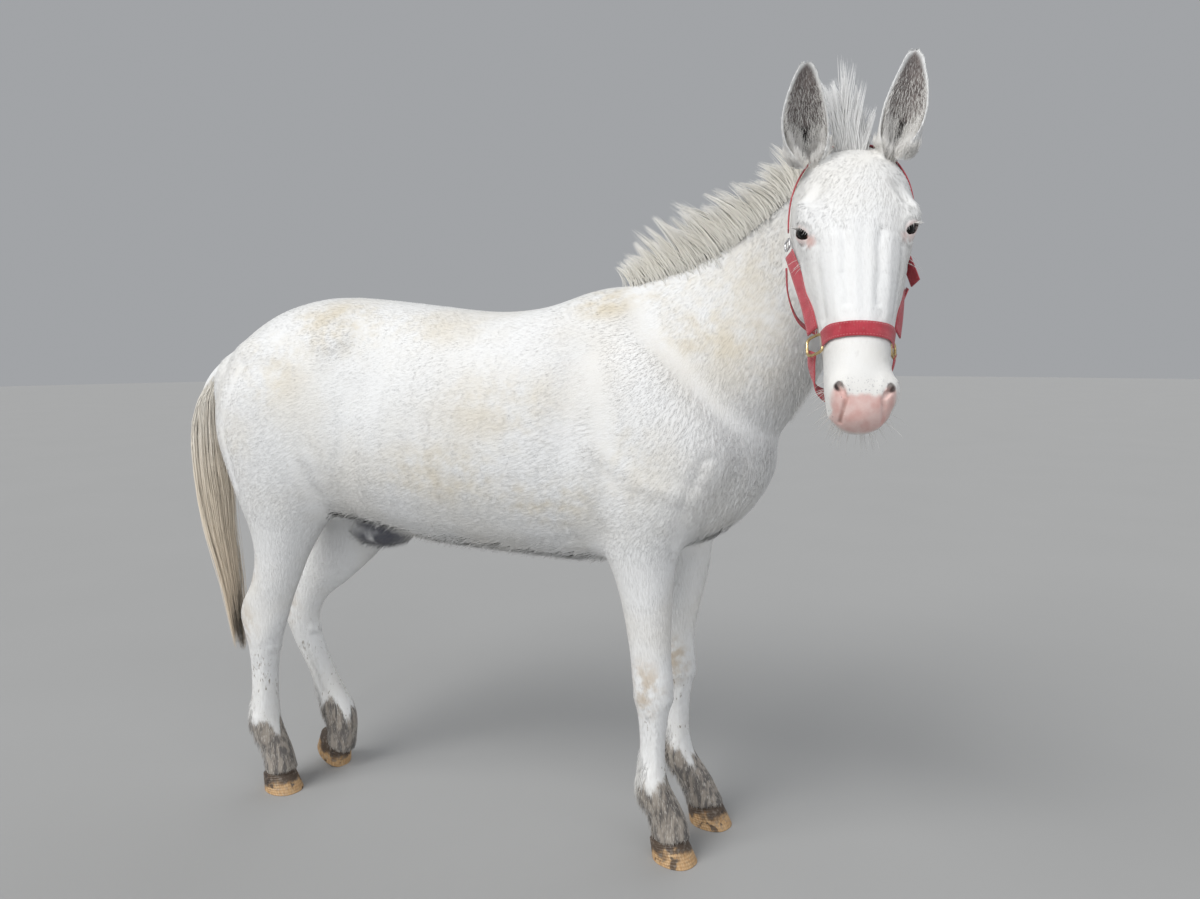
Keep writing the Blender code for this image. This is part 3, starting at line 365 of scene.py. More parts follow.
NECK_ROWS = [
    ((0.300, 0.000, 1.205), (0.560, 0.000, 0.800), 0.125, 2.1, 0.25),
    ((0.400, 0.000, 1.238), (0.672, 0.000, 0.900), 0.122, 2.1, 0.30),
    ((0.500, -0.008, 1.264), (0.728, -0.020, 0.980), 0.104, 2.1, 0.32),
    ((0.590, -0.036, 1.305), (0.775, -0.050, 1.060), 0.090, 2.1, 0.30),
    ((0.668, -0.090, 1.350), (0.806, -0.080, 1.115), 0.081, 2.1, 0.25),
    ((0.738, -0.146, 1.392), (0.820, -0.108, 1.168), 0.078, 2.1, 0.18),
    ((0.788, -0.198, 1.412), (0.830, -0.140, 1.200), 0.077, 2.1, 0.10),
    ((0.822, -0.240, 1.414), (0.840, -0.190, 1.215), 0.072, 2.1, 0.0),
]


def skull():
    """Along the head: brow line, jaw line, half width, squareness and taper."""
    stations = [
        (-0.030, -0.026, -0.130, 0.056, 2.2, 0.0),
        (0.000, 0.000, -0.160, 0.080, 2.2, 0.0),
        (0.045, 0.019, -0.190, 0.097, 2.3, -0.05),
        (0.090, 0.028, -0.208, 0.102, 2.3, -0.08),
        (0.140, 0.032, -0.212, 0.098, 2.4, -0.14),
        (0.195, 0.029, -0.199, 0.083, 2.4, -0.20),
        (0.250, 0.023, -0.174, 0.070, 2.4, -0.20),
        (0.305, 0.015, -0.146, 0.061, 2.4, -0.12),
        (0.360, 0.008, -0.122, 0.053, 2.3, 0.0),
        (0.412, 0.003, -0.107, 0.052, 2.2, 0.05),
        (0.454, -0.006, -0.098, 0.052, 2.2, 0.05),
        (0.486, -0.020, -0.090, 0.043, 2.1, 0.0),
        (HEAD_LENGTH + 0.003, -0.042, -0.078, 0.020, 2.0, 0.0),
    ]
    rows = []
    for along, top, low, half, square, taper in stations:
        rows.append((head_point(along, 0, top), head_point(along, 0, low), half, square, taper))
    return loft(rows, sides=28)


# How far the muzzle is pushed to the mule's left
MUZZLE_SHIFT = 0.003


def head_masses():
    """Cheeks, orbits, nostril wings, lips and chin."""
    forms = []
    for side in (-1, 1):
        forms.append(head_lobe(0.122, side * 0.056, -0.112, (0.080, 0.034, 0.076)))
        forms.append(head_lobe(0.134, side * 0.0755, -0.010, (0.044, 0.027, 0.024)))
        forms.append(head_lobe(0.215, side * 0.062, -0.055, (0.066, 0.020, 0.022)))
        forms.append(head_lobe(0.441, side * 0.037 + MUZZLE_SHIFT, -0.036, (0.034, 0.021, 0.034)))
        forms.append(head_lobe(0.463, side * 0.020, -0.062, (0.029, 0.024, 0.026)))
    forms.append(head_lobe(0.465, 0, -0.048, (0.039, 0.034, 0.038)))
    forms.append(head_lobe(0.446, 0, -0.104, (0.034, 0.028, 0.018)))
    forms.append(head_lobe(0.415, 0, -0.112, (0.022, 0.024, 0.017)))
    return forms


def fore_leg(side, leads):
    """Ovals of a foreleg. leads move it forwards at the foot, fetlock, knee and elbow."""
    stations = [
        (1.130, 0.420, 0.300, 0.070, 0.034),
        (1.050, 0.510, 0.298, 0.096, 0.062),
        (0.950, 0.600, 0.300, 0.107, 0.076),
        (0.870, 0.625, 0.300, 0.108, 0.080),
        (0.790, 0.580, 0.302, 0.106, 0.077),
        (0.720, 0.528, 0.318, 0.100, 0.068),
        (0.660, 0.492, 0.338, 0.095, 0.058),
        (0.600, 0.484, 0.358, 0.091, 0.051),
        (0.520, 0.479, 0.375, 0.088, 0.043),
        (0.440, 0.478, 0.386, 0.087, 0.038),
        (0.395, 0.483, 0.390, 0.087, 0.040),
        (0.355, 0.482, 0.394, 0.087, 0.039),
        (0.315, 0.472, 0.402, 0.087, 0.032),
        (0.260, 0.467, 0.406, 0.087, 0.026),
        (0.205, 0.467, 0.404, 0.087, 0.027),
        (0.165, 0.474, 0.398, 0.087, 0.034),
        (0.130, 0.494, 0.402, 0.085, 0.034),
        (0.095, 0.512, 0.422, 0.083, 0.033),
        (0.060, 0.521, 0.432, 0.082, 0.037),
        (0.030, 0.528, 0.435, 0.084, 0.038),
    ]
    moved = []
    for height, front, rear, middle, half in stations:
        shift = np.interp(height, (0.03, 0.18, 0.42, 0.62, 0.95), (*leads, 0.0))
        moved.append((height, front + shift, rear + shift, side * middle, half))
    return limb(moved, FORE_YAW)


def near_hind_leg():
    """The right hind leg stands under the body."""
    return limb([
        (1.060, -0.320, -0.580, -0.085, 0.080),
        (0.990, -0.272, -0.615, -0.094, 0.098),
        (0.900, -0.250, -0.620, -0.098, 0.100),
        (0.820, -0.262, -0.598, -0.098, 0.094),
        (0.740, -0.312, -0.572, -0.096, 0.080),
        (0.680, -0.355, -0.552, -0.093, 0.066),
        (0.610, -0.402, -0.545, -0.090, 0.052),
        (0.540, -0.435, -0.564, -0.087, 0.043),
        (0.490, -0.458, -0.596, -0.083, 0.038),
        (0.450, -0.474, -0.608, -0.080, 0.037),
        (0.410, -0.492, -0.600, -0.077, 0.038),
        (0.370, -0.508, -0.592, -0.074, 0.036),
        (0.320, -0.518, -0.592, -0.071, 0.031),
        (0.260, -0.524, -0.596, -0.068, 0.030),
        (0.200, -0.526, -0.607, -0.065, 0.032),
        (0.165, -0.523, -0.613, -0.063, 0.036),
        (0.130, -0.508, -0.600, -0.062, 0.035),
        (0.095, -0.492, -0.584, -0.061, 0.034),
        (0.060, -0.486, -0.576, -0.061, 0.037),
        (0.030, -0.476, -0.570, -0.061, 0.038),
    ], HIND_YAW)


def far_hind_leg():
    """The left hind leg is bent forwards, resting on its toe."""
    rows = [
        ((-0.320, 0.085, 1.060), (-0.580, 0.085, 1.060), 0.080),
        ((-0.255, 0.094, 0.990), (-0.615, 0.094, 0.990), 0.098),
        ((-0.215, 0.098, 0.900), (-0.600, 0.098, 0.900), 0.100),
        ((-0.200, 0.100, 0.810), (-0.550, 0.100, 0.830), 0.094),
        ((-0.225, 0.098, 0.720), (-0.500, 0.098, 0.770), 0.080),
        ((-0.270, 0.094, 0.640), (-0.480, 0.094, 0.705), 0.066),
        ((-0.340, 0.090, 0.565), (-0.485, 0.090, 0.640), 0.052),
        ((-0.415, 0.086, 0.500), (-0.520, 0.086, 0.578), 0.043),
        ((-0.475, 0.084, 0.455), (-0.580, 0.084, 0.520), 0.037),
        ((-0.500, 0.082, 0.410), (-0.612, 0.082, 0.445), 0.036),
        ((-0.500, 0.080, 0.370), (-0.594, 0.080, 0.385), 0.034),
        ((-0.485, 0.079, 0.325), (-0.570, 0.079, 0.325), 0.031),
        ((-0.460, 0.078, 0.270), (-0.536, 0.078, 0.262), 0.029),
        ((-0.432, 0.078, 0.215), (-0.512, 0.078, 0.198), 0.031),
        ((-0.406, 0.077, 0.170), (-0.498, 0.079, 0.150), 0.035),
        ((-0.398, 0.073, 0.130), (-0.484, 0.085, 0.112), 0.034),
        ((-0.402, 0.069, 0.095), (-0.484, 0.091, 0.082), 0.034),
        ((-0.408, 0.066, 0.062), (-0.492, 0.096, 0.068), 0.037),
        ((-0.420, 0.066, 0.030), (-0.500, 0.098, 0.045), 0.037),
    ]
    return [(Vector(front), Vector(rear), half, 2.1, 0.0) for front, rear, half in rows]


LEG_ROWS = {
    "foreleg_right": fore_leg(-1, NEAR_FORE_LEADS),
    "foreleg_left": fore_leg(1, FAR_FORE_LEADS),
    "hindleg_right": near_hind_leg(),
    "hindleg_left": far_hind_leg(),
}


def slender(point):
    """How much smoothing a place takes: little on the lower legs and the head."""
    low = min(1, max(0, (point.z - 0.45) / 0.25))
    near_head = min(1, max(0, ((point - POLL).length - 0.12) / 0.2))
    return 0.25 + 0.75 * min(low, near_head)


def smoothed(mesh, rounds, weight=None):
    """Even out a mesh, everywhere alike or by a weight for each place."""
    thing = link("smooth", mesh)
    step = thing.modifiers.new("smooth", "SMOOTH")
    step.factor = 0.5
    step.iterations = rounds
    if weight:
        group = thing.vertex_groups.new(name="soft")
        for vertex in mesh.vertices:
            group.add([vertex.index], weight(vertex.co), "REPLACE")
        step.vertex_group = group.name
    return bake(thing)


def flesh():
    """The body without ears, hooves and hair, as one closed form with the solids' own shape."""
    forms = [trunk(), loft(NECK_ROWS, sides=28), skull()]
    forms += [loft(rows) for rows in LEG_ROWS.values()]
    forms += trunk_masses() + head_masses()
    return smoothed(melted(joined(forms), MELT_VOXEL), FLESH_ROUNDS, slender)


# Feet

HOOF_LENGTH = 0.108
HOOF_WIDTH = 0.086
TOE_HEIGHT = 0.060
HEEL_HEIGHT = 0.034
CORONET_SHARE = 0.80
CORONET_BACK = 0.020
TIPTOE = 36


class Foot:
    """Where a hoof stands, the way its toe points, and how far it is tipped onto its toe."""

    def __init__(self, x, y, yaw, tip=0):
        self.turn = turn(yaw, tip)
        self.tip = tip
        toe = Vector((x, y, 0))
        if tip:
            self.middle = toe - self.turn @ Vector((HOOF_LENGTH / 2, 0, 0.003))
        else:
            self.middle = toe

    def place(self, point):
        return self.middle + self.turn @ Vector(point)

    def level(self, x, share):
        """Height of the wall above the sole, at a share of the way to the coronet."""
        return share * (HEEL_HEIGHT + (TOE_HEIGHT - HEEL_HEIGHT) * (0.5 + x / HOOF_LENGTH))

    def wall_point(self, angle, share, swell=0.0):
        size = 1 - (1 - CORONET_SHARE) * share + swell
        heel = 1.0 if math.cos(angle) > 0 else 0.84
        x = math.cos(angle) * HOOF_LENGTH / 2 * size * heel
        y = math.copysign(abs(math.sin(angle)) ** 0.85, math.sin(angle)) * HOOF_WIDTH / 2 * size
        z = self.level(x - CORONET_BACK * share, share)
        return self.place((x - CORONET_BACK * share, y, z))

    def coronet_cutter(self):
        """A block under the coronet, which ends the flesh just above the wall."""
        half = HOOF_LENGTH * 0.75
        points = []
        for top in (0, 1):
            for x, y in ((-half, -half), (half, -half), (half, half), (-half, half)):
                lift = self.level(x, 1) - 0.004 if top else -0.06
                points.append(self.place((x, y, lift)))
        return outward(mesh_from(points, ring_faces(2, 4)))


FEET = {
    "foreleg_right": Foot(0.482, -0.084, FORE_YAW),
    "foreleg_left": Foot(0.530, 0.085, FORE_YAW),
    "hindleg_right": Foot(-0.526, -0.062, HIND_YAW),
    "hindleg_left": Foot(-0.443, 0.082, HIND_YAW, TIPTOE),
}


# Eyes, nostrils and mouth

EYE_RADIUS = 0.0195
EYE_PLACE = {-1: (0.160, -0.0755, -0.024), 1: (0.156, 0.0695, -0.016)}
EYE_OUT = {-1: Vector((0.38, -0.80, 0.46)), 1: Vector((0.36, 0.70, 0.62))}
LID = 0.0042
LID_OPEN = 0.0068
LID_WIDTH = 0.0170


def eye_axes(side):
    """Axes of an eye: x along the slit, y out of the socket, z towards the brow."""
    out = EYE_OUT[side].normalized()
    slit = Vector((0.66, side * -0.585, 0.47))
    slit = (slit - out * slit.dot(out)).normalized()
    brow = slit.cross(out) if side > 0 else out.cross(slit)
    return HEAD_TURN @ Matrix((slit, out, brow)).transposed()


def eye_middle(side):
    return head_point(*EYE_PLACE[side])


def in_eye(points, side):
    """Places of many points in an eye's own axes."""
    return (points - np.array(eye_middle(side))) @ np.array(eye_axes(side))


def lid_opening(side):
    """An almond shaped prism that parts the lids."""
    axes = eye_axes(side)
    sides = 40
    points = []
    for out in (0.004, 0.045):
        for k in range(sides):
            angle = math.tau * k / sides
            x = math.cos(angle) * LID_WIDTH
            z = signed_power(math.sin(angle), 1.3) * LID_OPEN
            points.append(eye_middle(side) + axes @ Vector((x, out, z)))
    return outward(mesh_from(points, ring_faces(2, sides)))


# A nostril's slit in the head's frame: its top, bend and low end, and its outward side
SLIT_TOP = Vector((0.444, 0.038, -0.012))
SLIT_BEND = Vector((0.464, 0.027, -0.015))
SLIT_ON_SKIN = [(0.4445, 0.0388, -0.0087), (0.4643, 0.0271, -0.0146), (0.4785, 0.0305, -0.0268),
                (0.4895, 0.0324, -0.0458)]
SLIT_SHIFT = Vector((0, MUZZLE_SHIFT, 0))
SLIT_OUT = Vector((0.75, 0.40, 0.45))


def nostril_cutters(side):
    """The deep hollow at the top of a nostril, and the start of the slit that runs down from it."""
    mirror = Matrix.Diagonal((1, side, 1))
    lobes = []
    run = (SLIT_BEND - SLIT_TOP).normalized()
    out = (SLIT_OUT - run * SLIT_OUT.dot(run)).normalized()
    axes = HEAD_TURN @ mirror @ Matrix((run, out, run.cross(out))).transposed()
    for share, radii in ((0.10, (0.0070, 0.0150, 0.0046)), (0.50, (0.0120, 0.0085, 0.0030))):
        middle = mirror @ SLIT_TOP.lerp(SLIT_BEND, share) + SLIT_SHIFT
        lobes.append(lobe(head_point(*middle), radii, axes, 4))
    return lobes


def slit_line(side):
    """The nostril's slit on the skin, as places in the head's axes."""
    mirror = Matrix.Diagonal((1, side, 1))
    return [tuple(mirror @ Vector(spot) + SLIT_SHIFT) for spot in SLIT_ON_SKIN]


def mouth_height(angles):
    """How high the line of the lips runs, at an angle round the muzzle."""
    return -0.073 - 0.007 * (1 - np.cos(angles))


def mouth_cutter():
    """A thin wedge round the muzzle that parts the lips."""
    points = []
    turns = [math.radians(a) for a in range(-112, 113, 8)]
    for angle in turns:
        line = mouth_height(angle)
        for ahead, aside, half in ((0.078, 0.078, 0.0030), (0.044, 0.036, 0.0010)):
            for over in (line + half, line - half):
                points.append(head_point(0.440 + ahead * math.cos(angle), aside * math.sin(angle), over))
    order = [i + k for i in range(0, len(points), 4) for k in (0, 1, 3, 2)]
    return outward(mesh_from([points[i] for i in order], ring_faces(len(turns), 4)))


def with_face(mesh):
    """The head's openings: lids round each eye, nostrils and the line of the mouth."""
    for side in (-1, 1):
        radius = EYE_RADIUS + LID
        mesh = cut(mesh, [lobe(eye_middle(side), (radius, radius, radius), None, 4)], "UNION")
        mesh = cut(mesh, [lid_opening(side)])
        radius = EYE_RADIUS + GAP
        mesh = cut(mesh, [lobe(eye_middle(side), (radius, radius, radius), None, 4)])
        mesh = cut(mesh, [outward(cutter) for cutter in nostril_cutters(side)])
    return cut(mesh, [mouth_cutter()])


# Ears are deep cups that narrow to a point

EAR_ROOT = {-1: (0.012, -0.0745, -0.026), 1: (0.012, 0.061, -0.0165)}
EAR_TIP = {-1: Vector((0.748, -0.322, 1.550)), 1: Vector((0.915, -0.262, 1.572))}
EAR_FRONT = {-1: Vector((0.15, -1.0, 0.05)), 1: Vector((-0.10, -1.0, 0.05))}
EAR_SCALE = {-1: 0.98, 1: 0.90}
EAR_BOW = {-1: -0.008, 1: 0.006}
EAR_SHAPE = [
    (0.00, 0.029, 165),
    (0.14, 0.034, 140),
    (0.32, 0.037, 108),
    (0.50, 0.037, 92),
    (0.68, 0.031, 84),
    (0.84, 0.022, 78),
    (0.94, 0.015, 74),
    (1.00, 0.007, 70),
]
EAR_WALL = 0.0050


def ear_frame(side):
    """Root, axis from root to tip, the way the cup opens, and the way across it."""
    root = head_point(*EAR_ROOT[side])
    axis = EAR_TIP[side] - root
    front = EAR_FRONT[side]
    front = (front - axis * front.dot(axis) / axis.length_squared).normalized()
    wide = axis.cross(front).normalized()
    if wide.x < 0:
        wide = -wide
    return root, axis, front, wide


def ear_sheet(side, rows, columns):
    """Points of the curled sheet, row by row from the root, and the middle of each row's cup."""
    root, axis, front, wide = ear_frame(side)
    points, middles = [], []
    for share, half, curl in curve_through(EAR_SHAPE, rows):
        curl = math.radians(curl)
        radius = half * EAR_SCALE[side] / math.sin(min(curl, math.pi / 2))
        bow = 0.012 * math.sin(math.pi * share)
        middle = root + axis * share + wide * EAR_BOW[side] * math.sin(math.pi * share)
        middles.append(middle + front * (radius * 0.3 + bow))
        for k in range(columns + 1):
            angle = curl * (2 * k / columns - 1)
            depth = radius * (0.35 - math.cos(angle)) * 0.85
            points.append(middle + wide * radius * math.sin(angle) + front * (depth + bow))
    return points, middles


def ear(side, rows=5, columns=30):
    points, middles = ear_sheet(side, rows, columns)
    faces = []
    across = columns + 1
    for row in range(len(middles) - 1):
        for k in range(columns):
            low = row * across + k
            faces.append((low, low + 1, low + across + 1, low + across))
    thing = link("ear", mesh_from(points, faces))
    thick = thing.modifiers.new("wall", "SOLIDIFY")
    thick.thickness = EAR_WALL
    thick.offset = 0.0
    thick.use_rim = True
    return outward(bake(thing))


# The skin melts in a space that is swollen round the head, so that its mesh is finest there


def zoomed(distances):
    """How far from the head's middle each distance lies in the swollen space."""
    inside = HEAD_ZOOM * np.minimum(distances, ZOOM_REACH)
    beyond = np.maximum(distances - ZOOM_REACH, 0)
    return inside + beyond + (HEAD_ZOOM - 1) * ZOOM_FADE * (1 - np.exp(-beyond / ZOOM_FADE))


def swell_space(mesh, back=False):
    """Move a mesh into the swollen space, or back out of it."""
    centre = np.array(head_point(0.26, 0, -0.06))
    offsets = coordinates(mesh) - centre
    distances = np.linalg.norm(offsets, axis=1)
    table = np.linspace(0, 3, 6001)
    if back:
        wanted = np.interp(distances, zoomed(table), table)
    else:
        wanted = zoomed(distances)
    move_to(mesh, centre + offsets * (wanted / np.maximum(distances, 1e-6))[:, None])
    return mesh


def neck_root_evened(mesh):
    """The skin with a softer bend where neck and shoulder meet."""
    points = coordinates(mesh)
    gap = gap_to(points * (1, 0, 1), [(0.40, 0, 1.24), (0.50, 0, 1.08), (0.62, 0, 0.93)])
    soft = (1 - ease(gap, 0.05, 0.13)) * ease(points[:, 2], 0.80, 0.88)
    edges = np.empty(len(mesh.edges) * 2, np.int64)
    mesh.edges.foreach_get("vertices", edges)
    edges = edges.reshape(-1, 2)
    edges = edges[(soft[edges] > 0).any(axis=1)]
    count = np.bincount(edges.ravel(), minlength=len(points))
    share = (soft * 0.5 * (count > 0))[:, None]
    for _ in range(NECK_ROUNDS):
        total = np.zeros_like(points)
        for axis in range(3):
            total[:, axis] = (np.bincount(edges[:, 0], points[edges[:, 1], axis], len(points))
                              + np.bincount(edges[:, 1], points[edges[:, 0], axis], len(points)))
        points += (total / np.maximum(count, 1)[:, None] - points) * share
    move_to(mesh, points)
    return mesh


def one_skin(body):
    """Body, face and ears as one fine mesh, ended above the hooves."""
    whole = cut(with_face(body), [foot.coronet_cutter() for foot in FEET.values()])
    shells = joined([whole, ear(-1), ear(1)])
    skin = swell_space(melted(swell_space(shells), SKIN_VOXEL), back=True)
    return neck_root_evened(smoothed(skin, SKIN_ROUNDS))


# Folds, veins, muscles and bones that stand out of the skin

# On the head, mirrored to both sides: path in the head's axes, width and height
HEAD_STROKES = [
    ([(0.200, 0.080, -0.060), (0.260, 0.070, -0.064), (0.318, 0.060, -0.060)], 0.008, 0.0036),
    ([(0.200, 0.062, -0.002), (0.230, 0.061, -0.012), (0.270, 0.054, -0.016), (0.318, 0.051, -0.026)],
     0.009, -0.0038),
    ([(0.186, 0.031, 0.028), (0.215, 0.026, 0.025), (0.250, 0.027, 0.020), (0.285, 0.023, 0.014),
      (0.312, 0.024, 0.010)], 0.0065, -0.0024),
    ([(0.262, 0.033, 0.014), (0.300, 0.034, 0.006), (0.330, 0.030, 0.002)], 0.006, -0.0012),
    ([(0.170, 0.014, 0.030), (0.260, 0.012, 0.021), (0.340, 0.010, 0.008)], 0.008, 0.0012),
    ([(0.200, 0.044, 0.020), (0.260, 0.040, 0.012), (0.330, 0.036, 0.000)], 0.009, 0.0016),
    ([(0.088, 0.068, 0.020), (0.110, 0.078, 0.010)], 0.014, -0.0072),
    ([(0.120, 0.060, 0.020), (0.140, 0.074, 0.012), (0.165, 0.082, 0.000)], 0.010, 0.0016),
    ([(0.212, 0.066, -0.030), (0.250, 0.062, -0.046), (0.300, 0.058, -0.046), (0.345, 0.052, -0.034)],
     0.0030, 0.0013),
    ([(0.250, 0.062, -0.046), (0.272, 0.066, -0.066), (0.300, 0.062, -0.078)], 0.0028, 0.0010),
    ([(0.050, 0.094, -0.110), (0.090, 0.094, -0.180), (0.150, 0.086, -0.190), (0.195, 0.084, -0.145),
      (0.200, 0.080, -0.090)], 0.010, -0.0028),
    ([(0.060, 0.094, -0.050), (0.110, 0.092, -0.056), (0.180, 0.088, -0.062)], 0.010, 0.0022),
    ([(0.395, 0.055, -0.070), (0.380, 0.054, -0.082)], 0.006, -0.0020),
    ([(0.410, 0.054, -0.064), (0.388, 0.056, -0.060)], 0.005, 0.0014),
    ([(0.430, 0.054, -0.020), (0.444, 0.059, -0.036), (0.462, 0.056, -0.052), (0.478, 0.046, -0.062)],
     0.006, 0.0022),
    ([(0.430, 0.030, 0.000), (0.450, 0.024, -0.010), (0.470, 0.022, -0.024)], 0.006, 0.0016),
    ([(0.500, 0.000, -0.034), (0.506, 0.000, -0.066)], 0.0028, -0.0014),
    ([(0.420, 0.000, -0.122), (0.445, 0.000, -0.124)], 0.008, -0.0010),
]

# On the trunk, mirrored: path as (x, z) seen from the side, width and height
TRUNK_STROKES = [
    ([(0.300, 1.080), (0.282, 0.950), (0.292, 0.820), (0.325, 0.715)], 0.034, -0.0036),
    ([(0.375, 1.170), (0.440, 1.050), (0.540, 0.940), (0.580, 0.850)], 0.050, 0.0016),
    ([(0.420, 1.170), (0.500, 1.075), (0.560, 1.010), (0.640, 0.930)], 0.044, -0.0016),
    ([(0.330, 0.900), (0.430, 0.830), (0.520, 0.800)], 0.022, 0.0030),
    ([(0.560, 0.880), (0.520, 0.790), (0.500, 0.700)], 0.012, -0.0030),
    ([(-0.130, 1.075), (-0.165, 1.020)], 0.055, -0.0050),
    ([(-0.205, 1.000), (-0.212, 0.900), (-0.225, 0.800), (-0.240, 0.730)], 0.026, -0.0024),
    ([(-0.180, 0.900), (-0.190, 0.800), (-0.215, 0.730)], 0.022, 0.0016),
    ([(-0.330, 0.860), (-0.300, 0.770), (-0.310, 0.700)], 0.020, 0.0026),
    ([(-0.500, 1.060), (-0.560, 0.920), (-0.540, 0.790)], 0.013, -0.0032),
    ([(-0.240, 1.130), (-0.290, 1.080)], 0.030, 0.0030),
    ([(0.280, 0.700), (0.120, 0.672), (-0.050, 0.680)], 0.012, -0.0018),
]
RIBS = 7


def stroke(places, path, width, height):
    gap = gap_to(places, path)
    return height * np.exp(-(gap / width) ** 2)


def head_relief(places):
    """How far the skin stands out at places in the head's axes."""
    folded = places * (1, 0, 1) + np.abs(places) * (0, 1, 0)
    relief = np.zeros(len(places))
    for path, width, height in HEAD_STROKES:
        relief += stroke(folded, path, width, height)
    for side in (-1, 1):
        relief += stroke(places, slit_line(side), 0.0032, -0.0034)
    return relief


def lid_relief(points):
    """Folds round the eyes: a crease above the upper lid, and bags under the lower one."""
    relief = np.zeros(len(points))
    for side in (-1, 1):
        local = in_eye(points, side)
        x, out, z = local.T
        reach = np.hypot(x * 0.86, z)
        near = ease(out, 0.000, 0.010) * ease(np.linalg.norm(local, axis=1), 0.045, 0.038)
        upper = ease(z, -0.002, 0.006)
        lower = 1 - upper
        relief += near * upper * (-0.0012 * np.exp(-((reach - 0.0165) / 0.0018) ** 2)
                                  + 0.0008 * np.exp(-((reach - 0.0225) / 0.0050) ** 2))
        relief += near * lower * (0.0006 * np.exp(-((reach - 0.0150) / 0.0022) ** 2)
                                  - 0.0007 * np.exp(-((reach - 0.0195) / 0.0018) ** 2)
                                  + 0.0004 * np.exp(-((reach - 0.0240) / 0.0030) ** 2))
    return relief


def trunk_relief(points, normals):
    """Muscles, ribs and the folds of flank and elbow on both sides of the trunk."""
    seen = points * (1, 0, 1)
    relief = np.zeros(len(points))
    for path, width, height in TRUNK_STROKES:
        relief += stroke(seen, [(x, 0, z) for x, z in path], width, height)
    for k in range(RIBS):
        top = 0.250 - 0.058 * k
        rib = [(top, 0, 1.06), (top - 0.035, 0, 0.92), (top - 0.010, 0, 0.78)]
        relief += stroke(seen, rib, 0.014, 0.0006)
    aside = ease(np.abs(normals[:, 1]), 0.25, 0.65)
    low = ease(points[:, 2], 0.62, 0.72)
    return relief * aside * low


# Bones of a knee: share of the way from its front to its rear, share aside, and size
KNEE_BONES = ((0.0, 0.0, 0.014), (0.1, 0.6, 0.010), (0.1, -0.6, 0.010), (1.0, 0.0, 0.014))
KNEE_BONE_HEIGHT = 0.0024


def leg_relief(points):
    """Tendons behind the cannon bones, the knees' bones and the fetlocks' ergots."""
    relief = np.zeros(len(points))
    for rows in LEG_ROWS.values():
        low_rows = [row for row in rows if 0.19 < (row[0].z + row[1].z) / 2 < 0.34]
        for side in (-1, 1):
            groove = []
            bone = []
            for front, rear, half, _, _ in low_rows:
                across = Vector((0, side * half, 0))
                groove.append(front.lerp(rear, 0.60) + across * 0.95)
                bone.append(front.lerp(rear, 0.30) + across * 0.95)
            relief += stroke(points, groove, 0.006, -0.0026)
            relief += stroke(points, bone, 0.008, 0.0012)
        knee_rows = [row for row in rows if 0.34 < (row[0].z + row[1].z) / 2 < 0.43]
        middle = knee_rows[len(knee_rows) // 2]
        for share, aside, size in KNEE_BONES:
            spot = np.array(middle[0].lerp(middle[1], share) + Vector((0, aside * middle[2], 0)))
            relief += KNEE_BONE_HEIGHT * np.exp(-(np.linalg.norm(points - spot, axis=1) / size) ** 2)
    return relief


def carved(mesh):
    """The skin with its folds and muscles."""
    points = coordinates(mesh)
    normals = normals_of(mesh)
    relief = leg_relief(points)
    local = in_head(points)
    on_head = (local[:, 0] > 0.02) & (np.abs(local[:, 1]) < 0.12)
    on_head &= (local[:, 2] > -0.24) & (local[:, 2] < 0.06)
    relief[on_head] += head_relief(local[on_head]) + lid_relief(points[on_head])
    on_trunk = (points[:, 0] < 0.66) & (points[:, 2] > 0.60)
    relief[on_trunk] += trunk_relief(points[on_trunk], normals[on_trunk])
    move_to(mesh, points + normals * relief[:, None])
    return smoothed(mesh, 1)


# The body's parts as lines, for the lie of the coat, its length and the unwrap


def leg_line(name):
    """The middle of a leg, from its top down."""
    return [tuple((row[0] + row[1]) / 2) for row in LEG_ROWS[name]][2:]


def ear_line(side):
    root, axis, _, _ = ear_frame(side)
    return [tuple(root + axis * 0.14), tuple(root + axis)]


TAIL_LINE = [
    (-0.615, 0.000, 1.070),
    (-0.672, 0.000, 1.055),
    (-0.732, 0.004, 0.995),
    (-0.760, 0.010, 0.890),
    (-0.764, 0.015, 0.765),
    (-0.750, 0.018, 0.635),
    (-0.722, 0.020, 0.500),
    (-0.706, 0.018, 0.380),
    (-0.700, 0.016, 0.310),
]

# Each part's line, its thickness, and the length, width and closeness of its tufts
PARTS = {
    "trunk": ([(-0.62, 0, 0.96), (-0.30, 0, 0.95), (0.10, 0, 0.91), (0.45, 0, 0.93)], 0.200,
              0.0150, 0.0018, 0.0046),
    "neck": ([(0.56, 0, 1.03), (0.67, -0.06, 1.19), (0.77, -0.14, 1.28), (0.82, -0.20, 1.32)], 0.105,
             0.0150, 0.0018, 0.0042),
    "head": ([tuple(head_point(0.02, 0, -0.08)), tuple(head_point(0.25, 0, -0.08)),
              tuple(head_point(0.47, 0, -0.055))], 0.075, 0.0052, 0.0009, 0.0026),
    "ear_right": (ear_line(-1), 0.034, 0.0052, 0.0010, 0.0024),
    "ear_left": (ear_line(1), 0.034, 0.0052, 0.0010, 0.0024),
    "foreleg_right": (leg_line("foreleg_right"), 0.045, 0.0100, 0.0020, 0.0037),
    "foreleg_left": (leg_line("foreleg_left"), 0.045, 0.0100, 0.0020, 0.0037),
    "hindleg_right": (leg_line("hindleg_right"), 0.050, 0.0100, 0.0020, 0.0037),
    "hindleg_left": (leg_line("hindleg_left"), 0.050, 0.0100, 0.0020, 0.0037),
    "tail": (TAIL_LINE, 0.030, 0.0100, 0.0020, 0.0040),
}
PART_NAMES = list(PARTS)


